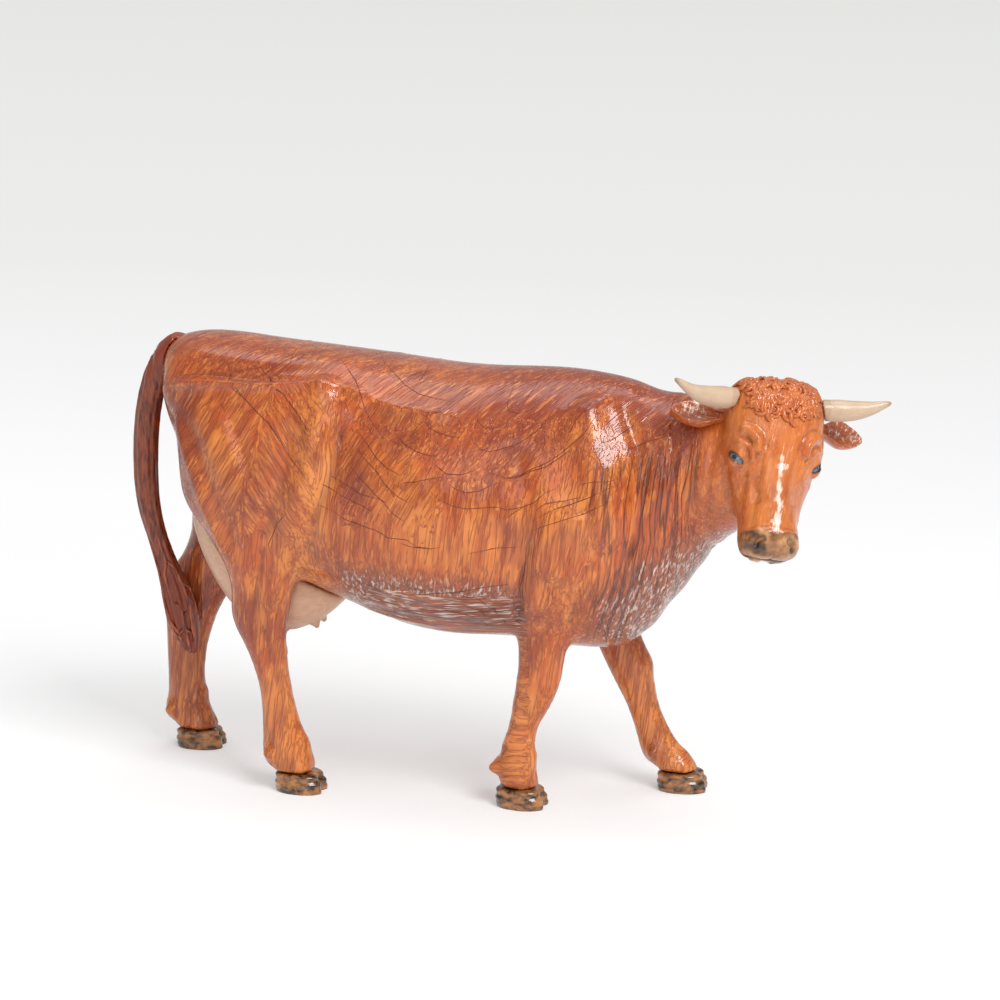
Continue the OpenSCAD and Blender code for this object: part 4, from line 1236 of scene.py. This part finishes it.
def make_curls():
    curls = bpy.context.scene.cow_curls
    chances = np.random.RandomState(curls.seed)
    tree = surface("head_hide")
    guides = []
    girths = []
    for _ in range(curls.count):
        left = chances.uniform(-POLL_HALF, POLL_HALF)
        roll = chances.uniform(-0.45, 1.0)
        low = -6.0 + (12.5 - 0.02 * left * left) * max(roll, 0) ** 1.35
        start = on_head(low, left, 8.0) if roll > 0 else on_head(-9.0, left, 5.0 + 26.0 * roll)
        root, normal = tree.find_nearest(Vector(start))[:2]
        away = AXES @ np.array([0.8, 0.08 * left + chances.normal(0, 0.4), -1.0])
        away = unit(away - np.array(normal) * (away @ np.array(normal)))
        across = np.cross(normal, away) * chances.choice([-1, 1])
        long = curls.length * chances.uniform(0.6, 1.25)
        bend = chances.uniform(1.3, 2.6)
        at = np.array(root) - np.array(normal) * 0.3
        guide = []
        steps = len(CURL_TAPER) - 1
        for k in range(steps + 1):
            t = k / steps
            angle = bend * t * t
            at = at + (away * math.cos(angle) + across * math.sin(angle)) * long / steps
            near, out = tree.find_nearest(Vector(at))[:2]
            lift = 0.05 + 0.25 * math.sin(math.pi * min(t * 1.1, 1))
            at = np.array(near) + np.array(out) * lift
            guide.append(tuple(at))
        width = curls.girth / 2 * chances.uniform(0.75, 1.2)
        guides.append(guide)
        girths.append(width * CURL_TAPER)
    piece = strands("poll_curls", guides, girths, 0.45, 6, hide_paint())
    skin = Skin(piece.data)
    blank = np.zeros(len(skin.points))
    skin.set_values("tone", columns(blank + 0.2, 0.45, 0, 0))
    skin.set_values("lay", columns(blank, 0, 0, 0))
    skin.set_values("face", blank + 1)
    finish_piece(piece, ())


# Long creases, as they are seen in the photograph, in its pixels
CREASES = [
    [(255, 356), (262, 369), (272, 381), (283, 394), (294, 409), (303, 423), (308, 433)],
    [(226, 352), (229, 367), (229, 381), (234, 390), (245, 399), (256, 411), (270, 425), (281, 442),
     (291, 459), (302, 473), (310, 481)],
    [(231, 384), (242, 396), (254, 409), (268, 423), (279, 440)],
    [(331, 342), (338, 356), (348, 369), (356, 381), (360, 392), (365, 409), (371, 421), (379, 433)],
    [(379, 350), (384, 362), (394, 373), (405, 385), (419, 394), (430, 397), (438, 399), (455, 402)],
    [(350, 465), (360, 478), (371, 490), (384, 503), (394, 515), (405, 522)],
    [(321, 484), (333, 490), (344, 497), (356, 503), (365, 507), (373, 513)],
    [(356, 429), (367, 444), (377, 459), (388, 469), (402, 476)],
    [(394, 432), (404, 444), (417, 452), (430, 456), (440, 456)],
    [(356, 448), (363, 457), (377, 472), (386, 486), (398, 497), (409, 503)],
    [(318, 505), (333, 511), (346, 520), (363, 526), (375, 530), (388, 538), (407, 540), (417, 547),
     (430, 548)],
    [(331, 476), (342, 482), (360, 494), (379, 499), (387, 503)],
    [(425, 424), (436, 432), (448, 436), (461, 438)],
    [(471, 434), (473, 441), (480, 449), (490, 452), (501, 449), (515, 445), (526, 439), (538, 430),
     (547, 420), (553, 409), (561, 395)],
    [(515, 372), (513, 388), (507, 405), (509, 411), (519, 414), (530, 410), (540, 403), (550, 392)],
    [(482, 399), (477, 416), (478, 422), (484, 428), (496, 428), (507, 423)],
    [(434, 464), (446, 474), (461, 475), (476, 470)],
    [(400, 483), (415, 482), (429, 479), (444, 477)],
    [(446, 482), (455, 489), (467, 493), (480, 491), (492, 485), (503, 482)],
    [(427, 489), (438, 499), (452, 506), (467, 509), (482, 508), (496, 507), (507, 510), (519, 508),
     (534, 503), (545, 493), (559, 487)],
    [(480, 466), (492, 474), (507, 478), (519, 476), (534, 468), (545, 464), (559, 455), (572, 444),
     (584, 434), (593, 420), (601, 411)],
    [(500, 479), (517, 478), (532, 471), (546, 467), (561, 457), (573, 448)],
    [(568, 434), (576, 420), (586, 410), (595, 399)],
    [(534, 520), (553, 510), (572, 504), (591, 497), (607, 489), (618, 485)],
    [(532, 531), (545, 526), (564, 520), (584, 514), (601, 506), (616, 499)],
    [(534, 512), (545, 504), (564, 501), (582, 497)],
    [(578, 485), (593, 482), (607, 482), (618, 479)],
    [(622, 451), (635, 447), (649, 441), (668, 436), (687, 426)],
    [(599, 444), (612, 440), (624, 432), (635, 424)],
    [(503, 521), (515, 512), (526, 506)],
    [(526, 552), (525, 566), (522, 581), (519, 591)],
    [(400, 543), (411, 547), (429, 549), (442, 547)],
    [(467, 554), (496, 548), (522, 547)],
    [(272, 557), (268, 545), (277, 524), (289, 511)],
    [(400, 596), (429, 594), (457, 592), (486, 587), (515, 583)],
    [(457, 596), (477, 598), (492, 608), (507, 625)],
    [(438, 604), (463, 604), (482, 612), (498, 625)],
    [(420, 610), (450, 611), (474, 617), (492, 628)],
    [(545, 372), (536, 386), (527, 398), (520, 410)],
    [(300, 345), (292, 356), (290, 368)],
    [(430, 365), (422, 378), (414, 388)],
]
PHOTO_SIZE = 1000


def camera_axes():
    """Right, up and forward of the camera that took the photograph"""
    stage = bpy.context.scene.cow_stage
    turn = stage.turn
    rise = stage.rise
    forward = np.array([math.sin(turn) * math.cos(rise), math.cos(turn) * math.cos(rise), -math.sin(rise)])
    right = np.array([math.cos(turn), -math.sin(turn), 0.0])
    return right, np.cross(right, forward), forward


CAMERA_PLACE = np.array([194.13, -777.77, 278.05])
SENSOR = 36.0


def sight(pixel):
    """Direction from the camera through a pixel of the photograph"""
    right, up, forward = camera_axes()
    scale = SENSOR / bpy.context.scene.cow_stage.lens / PHOTO_SIZE
    across = (pixel[0] - PHOTO_SIZE / 2) * scale
    high = (PHOTO_SIZE / 2 - pixel[1]) * scale
    return unit(forward + across * right + high * up)


def make_creases():
    """Thin lines of dark wash that lie in the skin. The left flank has the right one's, mirrored."""
    hide = bpy.context.scene.cow_hide
    tree = surface("body_hide")
    guides = []
    girths = []
    for crease in CREASES:
        spots = [tree.ray_cast(Vector(CAMERA_PLACE), Vector(sight(pixel)))[0] for pixel in crease]
        spots = [s for s in spots if s is not None]
        near = []
        for a, b in zip(spots[:-1], spots[1:]):
            near += [a.lerp(b, k / 4) for k in range(4)]
        near.append(spots[-1])
        far = [Vector((p.x, -p.y + 0.5, p.z)) for p in near]
        for line in (near, far):
            guide = []
            for p in line:
                spot, normal = tree.find_nearest(p)[:2]
                guide.append(tuple(spot - normal * 0.05))
            guides.append(guide)
            t = np.linspace(0, 1, len(guide))
            girths.append(hide.crease_w / 2 * (0.35 + 0.65 * np.sin(np.pi * t) ** 0.5))
    # Umber wash left in a cut line by a wiped brush: dark, and as glossy as the varnish over it
    material = plain_paint("Umber wash in creases", hide.umber, hide.russet, 0.9, 0.5, 0.3, 0.02)
    finish_piece(strands("hide_creases", guides, girths, 0.9, 4, material), ())


def tail_paint(name, low, high, mask=None):
    """Dark brown oil paint brushed along the strand, under varnish"""
    return plain_paint(name, low, high, 1.3, 0.42, 0.6, 0.2, (1, 1, 0.16), mask=mask)


def make_tail():
    trim = bpy.context.scene.cow_trim
    curls = bpy.context.scene.cow_curls
    mesh = moulded(("tail",), 0.5, "tail_piece")
    skin = Skin(mesh)
    skin.relax(8, 0.6)
    middle = tail_middle(skin)
    off = skin.points - middle(skin.points[:, 2])
    angle = np.arctan2(off[:, 1], off[:, 0])
    level = skin.points[:, 2]
    low = ease(level, 62, 40)
    wander = 0.5 * np.sin(level / 7.0) + 0.3 * np.sin(level / 2.7)
    skin.push((0.14 + 0.22 * low) * np.sin(9 * angle + wander) - 0.28 * np.exp(-((angle + 1.35) / 0.22) ** 2))
    skin.points[:, 2] -= 2.0 * ease(skin.points[:, 0], -88, -82)
    skin.refresh()
    skin.set_values("root", np.maximum(ease(level, 103, 115), 0.95 * ease(level, 60, 40)))
    # Towards the root and the end the paint turns to the hide's russet
    russet = bpy.context.scene.cow_hide.russet
    material = tail_paint("Dark brown tail paint", trim.tail, trim.tail_light, ("root", russet))
    finish_piece(link("tail_piece", mesh), ("tail",), material)

    # Locks of the switch, which twist loosely round the end of the tail
    chances = np.random.RandomState(curls.seed + 1)
    tree = surface("tail_piece")
    guides = []
    girths = []
    for _ in range(curls.lock_count):
        start = chances.uniform(40, 62)
        end = max(start - chances.uniform(14, 26), 28.0 + chances.uniform(0, 4))
        phase = chances.uniform(0, 2 * math.pi)
        twist = chances.uniform(-1.2, 1.2)
        guide = []
        for k in range(len(LOCK_TAPER)):
            t = k / (len(LOCK_TAPER) - 1)
            level = start + (end - start) * t
            turn = phase + twist * t
            centre = middle(np.array([level]))[0]
            aim = centre + 6.0 * np.array([math.cos(turn), math.sin(turn), 0])
            spot, normal = tree.find_nearest(Vector(aim))[:2]
            guide.append(tuple(np.array(spot) + np.array(normal) * (0.18 * math.sin(math.pi * t) - 0.12)))
        guides.append(guide)
        width = curls.lock_girth / 2 * chances.uniform(0.6, 1.1)
        girths.append(width * LOCK_TAPER)
    lighter = tail_paint("Lighter brown lock paint", trim.lock, trim.tail)
    finish_piece(strands("tail_locks", guides, girths, 0.8, 5, lighter), ())


def tail_middle(skin):
    """A function that gives the middle of the hanging tail at any level"""
    levels = np.arange(24.0, 108.0, 4.0)
    rows = []
    for level in levels:
        band = skin.points[np.abs(skin.points[:, 2] - level) < 2.5]
        band = band[band[:, 0] < band[:, 0].min() + 10] if len(band) else skin.points
        rows.append(band.mean(0))
    rows = np.array(rows)

    def middle(level):
        return columns(np.interp(level, levels, rows[:, 0]), np.interp(level, levels, rows[:, 1]), level)

    return middle


def make_hooves():
    trim = bpy.context.scene.cow_trim
    # Black paint rubbed through to gold in broad patches, under gloss varnish
    material = plain_paint(
        "Rubbed black hoof paint", trim.hoof, trim.hoof_gold, 0.3, 0.25, 1.0, 0.1, (1, 1, 1.6)
    )
    for node in HOOVES:
        mesh = moulded((node,), 0.34, node + "_piece")
        skin = Skin(mesh)
        skin.relax(5, 0.6)
        z = skin.points[:, 2]
        skin.push(0.16 * np.sin(z * 3.2) * ease(z, 0.8, 1.6) * ease(z, 5.2, 4.2))
        skin.points[:, 2] = np.maximum(skin.points[:, 2], 0.0)
        skin.points[:, 2] = np.where(z < 0.3, 0.0, skin.points[:, 2])
        skin.refresh()
        finish_piece(link(node + "_piece", mesh), (node,), material)


STEEL = "#B4B6B9"


def make_wires():
    """The CAD solids stay, sealed inside the legs and the tail"""
    # Drawn steel: fine streaks of roughness along the wire, a quarter of a millimetre wide
    material, put = new_material("Drawn steel wire")
    place = put("ShaderNodeTexCoord", out="Object")
    lines = put("ShaderNodeMapping", {0: place, "Scale": (4000, 4000, 200)})
    noise = put("ShaderNodeTexNoise", {"Vector": lines, "Scale": 1.0})
    rough = put("ShaderNodeMapRange", {0: noise, 3: 0.25, 4: 0.45})
    steel = {"Base Color": linear(STEEL), "Metallic": 1.0, "Roughness": rough}
    put("ShaderNodeOutputMaterial", {0: put("ShaderNodeBsdfPrincipled", steel)})
    for name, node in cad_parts.items():
        if "wire" in name:
            for slot in node.material_slots:
                slot.material = material


# Painted shade of the floor's glow: white near the figurine and greyer far off
SWEEP_PAINTED_SHADE = [(0.0, "#FFFFFF"), (0.09, "#F5F5F5"), (0.20, "#EDEDEC"), (1.0, "#E2E3DF")]
FLOOR_HALF = 12
# Each lamp: its place and what it is aimed at, in metres, its width and height, and its share of the power
LAMPS = {
    "Key softbox": ((0.62, -0.52, 0.95), (0.0, 0.0, 0.06), 0.52, 0.52, 1.2),
    "Top softbox": ((-0.1, 0.15, 1.1), (0.0, 0.0, 0.05), 0.9, 0.5, 0.38),
    "Front softbox": ((0.15, -1.2, 0.5), (0.0, 0.0, 0.07), 0.9, 0.6, 0.25),
}


def sweep_paper(stage):
    """Matt white paper that also glows to the camera and in reflections, with painted shade that greys the
    glow a little into the distance
    """
    material, put = new_material("Matt white sweep")
    place = put("ShaderNodeTexCoord", out="Object")
    away = put("ShaderNodeVectorMath", {0: place, 1: (0, 1, 0)}, "Value", operation="DOT_PRODUCT")
    fade = put("ShaderNodeMapRange", {0: away, 1: 0.25, 2: 2.8})
    shades = [(at, linear(shade)) for at, shade in SWEEP_PAINTED_SHADE]
    glow = put("ShaderNodeEmission", {0: put("ShaderNodeValToRGB", {0: fade}, stops=shades), 1: 1.0})
    paths = put("ShaderNodeLightPath", out=None).outputs
    rays = {0: paths["Is Camera Ray"], 1: paths["Is Glossy Ray"]}
    seen = put("ShaderNodeMath", rays, operation="MAXIMUM")
    # Near the figurine the floor mostly shows its own light and shadow, and further back the glow with its
    # painted shade
    far = put("ShaderNodeMapRange", {0: away, 1: 0.02, 2: 0.30, 3: 0.30})
    share = put("ShaderNodeMath", {0: seen, 1: far}, operation="MULTIPLY")
    matt = put("ShaderNodeBsdfDiffuse", {0: stage.floor})
    put("ShaderNodeOutputMaterial", {0: put("ShaderNodeMixShader", {0: share, 1: matt, 2: glow})})
    return material


def make_stage():
    stage = bpy.context.scene.cow_stage
    scene = bpy.context.scene
    right, up, forward = camera_axes()
    lens = bpy.data.cameras.new("Camera")
    lens.lens = stage.lens
    lens.sensor_width = SENSOR
    lens.clip_end = 50
    camera = link("Camera", lens)
    turned = Matrix(np.stack([right, up, -forward], axis=1).tolist()).to_4x4()
    camera.matrix_world = Matrix.Translation(Vector(CAMERA_PLACE) * MM) @ turned
    scene.camera = camera

    mesh = bpy.data.meshes.new("Floor")
    corners = [(x * FLOOR_HALF, y * FLOOR_HALF, 0) for x, y in ((-1, -1), (1, -1), (1, 1), (-1, 1))]
    mesh.from_pydata(corners, [], [(0, 1, 2, 3)])
    mesh.materials.append(sweep_paper(stage))
    floor = link("Floor", mesh)

    scene.world = bpy.data.worlds.new("Studio")
    scene.world.use_nodes = True
    back = scene.world.node_tree.nodes["Background"]
    back.inputs["Color"].default_value = (1, 1, 1, 1)
    back.inputs["Strength"].default_value = stage.sky
    for name, (place, aim, wide, high, share) in LAMPS.items():
        lamp = bpy.data.lights.new(name, "AREA")
        lamp.shape = "RECTANGLE"
        lamp.size = wide
        lamp.size_y = high
        lamp.energy = stage.key * share
        made = link(name, lamp)
        made.location = place
        made.rotation_euler = (Vector(aim) - Vector(place)).to_track_quat("-Z", "Y").to_euler()
    scene.view_settings.view_transform = "Standard"


class COW_OT_body(bpy.types.Operator):
    """Models and paints the hide of the trunk, neck and legs"""

    bl_idname = "cow.body"
    bl_label = "Body hide"

    def execute(self, context):
        make_body()
        return {"FINISHED"}


class COW_OT_head(bpy.types.Operator):
    """Models and paints the head with its face"""

    bl_idname = "cow.head"
    bl_label = "Head hide"

    def execute(self, context):
        make_head()
        return {"FINISHED"}


class COW_OT_curls(bpy.types.Operator):
    """Lays thick moulded hooks of hair from between the horns over the forehead"""

    bl_idname = "cow.curls"
    bl_label = "Poll curls"

    def execute(self, context):
        make_curls()
        return {"FINISHED"}


class COW_OT_creases(bpy.types.Operator):
    """Draws the long incised creases of the hide on both flanks"""

    bl_idname = "cow.creases"
    bl_label = "Creases"

    def execute(self, context):
        make_creases()
        return {"FINISHED"}


class COW_OT_horns(bpy.types.Operator):
    """Models and paints both horns"""

    bl_idname = "cow.horns"
    bl_label = "Horns"

    def execute(self, context):
        make_horns()
        return {"FINISHED"}


class COW_OT_ears(bpy.types.Operator):
    """Models and paints both ears"""

    bl_idname = "cow.ears"
    bl_label = "Ears"

    def execute(self, context):
        make_ears()
        return {"FINISHED"}


class COW_OT_eyes(bpy.types.Operator):
    """Makes both glossy eyes"""

    bl_idname = "cow.eyes"
    bl_label = "Eyes"

    def execute(self, context):
        make_eyes()
        return {"FINISHED"}


class COW_OT_udder(bpy.types.Operator):
    """Models and paints the udder and its teats"""

    bl_idname = "cow.udder"
    bl_label = "Udder"

    def execute(self, context):
        make_udder()
        return {"FINISHED"}


class COW_OT_tail(bpy.types.Operator):
    """Models and paints the tail and the locks of its switch"""

    bl_idname = "cow.tail"
    bl_label = "Tail"

    def execute(self, context):
        make_tail()
        return {"FINISHED"}


class COW_OT_hooves(bpy.types.Operator):
    """Models and paints the four hooves"""

    bl_idname = "cow.hooves"
    bl_label = "Hooves"

    def execute(self, context):
        make_hooves()
        return {"FINISHED"}


class COW_OT_wires(bpy.types.Operator):
    """Gives the inner wires their steel"""

    bl_idname = "cow.wires"
    bl_label = "Wires"

    def execute(self, context):
        make_wires()
        return {"FINISHED"}


class COW_OT_stage(bpy.types.Operator):
    """Sets up the floor, the lamps and the camera"""

    bl_idname = "cow.stage"
    bl_label = "Stage"

    def execute(self, context):
        make_stage()
        return {"FINISHED"}


OPERATORS = (
    COW_OT_body, COW_OT_head, COW_OT_curls, COW_OT_creases, COW_OT_horns, COW_OT_ears, COW_OT_eyes,
    COW_OT_udder, COW_OT_tail, COW_OT_hooves, COW_OT_wires, COW_OT_stage
)


class COW_PT_panel(bpy.types.Panel):
    """Lists the steps that make the figurine"""

    bl_label = "Cow figurine"
    bl_idname = "COW_PT_panel"
    bl_space_type = "VIEW_3D"
    bl_region_type = "UI"
    bl_category = "Cow"

    def draw(self, context):
        for made in OPERATORS:
            self.layout.operator(made.bl_idname)
        for group in ("cow_hide", "cow_trim", "cow_curls", "cow_stage"):
            settings = getattr(context.scene, group)
            box = self.layout.box()
            for key in settings.bl_rna.properties.keys():
                if key not in ("name", "rna_type"):
                    box.prop(settings, key)


SETTINGS = {
    "cow_hide": HideSettings, "cow_trim": TrimSettings, "cow_curls": CurlSettings, "cow_stage": StageSettings
}
CLASSES = (*SETTINGS.values(), *OPERATORS, COW_PT_panel)


def register():
    for made in CLASSES:
        bpy.utils.register_class(made)
    for name, group in SETTINGS.items():
        setattr(bpy.types.Scene, name, bpy.props.PointerProperty(type=group))


def unregister():
    for name in SETTINGS:
        delattr(bpy.types.Scene, name)
    for made in reversed(CLASSES):
        bpy.utils.unregister_class(made)


def main():
    register()
    bpy.ops.cow.body()
    bpy.ops.cow.head()
    bpy.ops.cow.curls()
    bpy.ops.cow.creases()
    bpy.ops.cow.horns()
    bpy.ops.cow.ears()
    bpy.ops.cow.eyes()
    bpy.ops.cow.udder()
    bpy.ops.cow.tail()
    bpy.ops.cow.hooves()
    bpy.ops.cow.wires()
    bpy.ops.cow.stage()


if __name__ == "__main__":
    main()
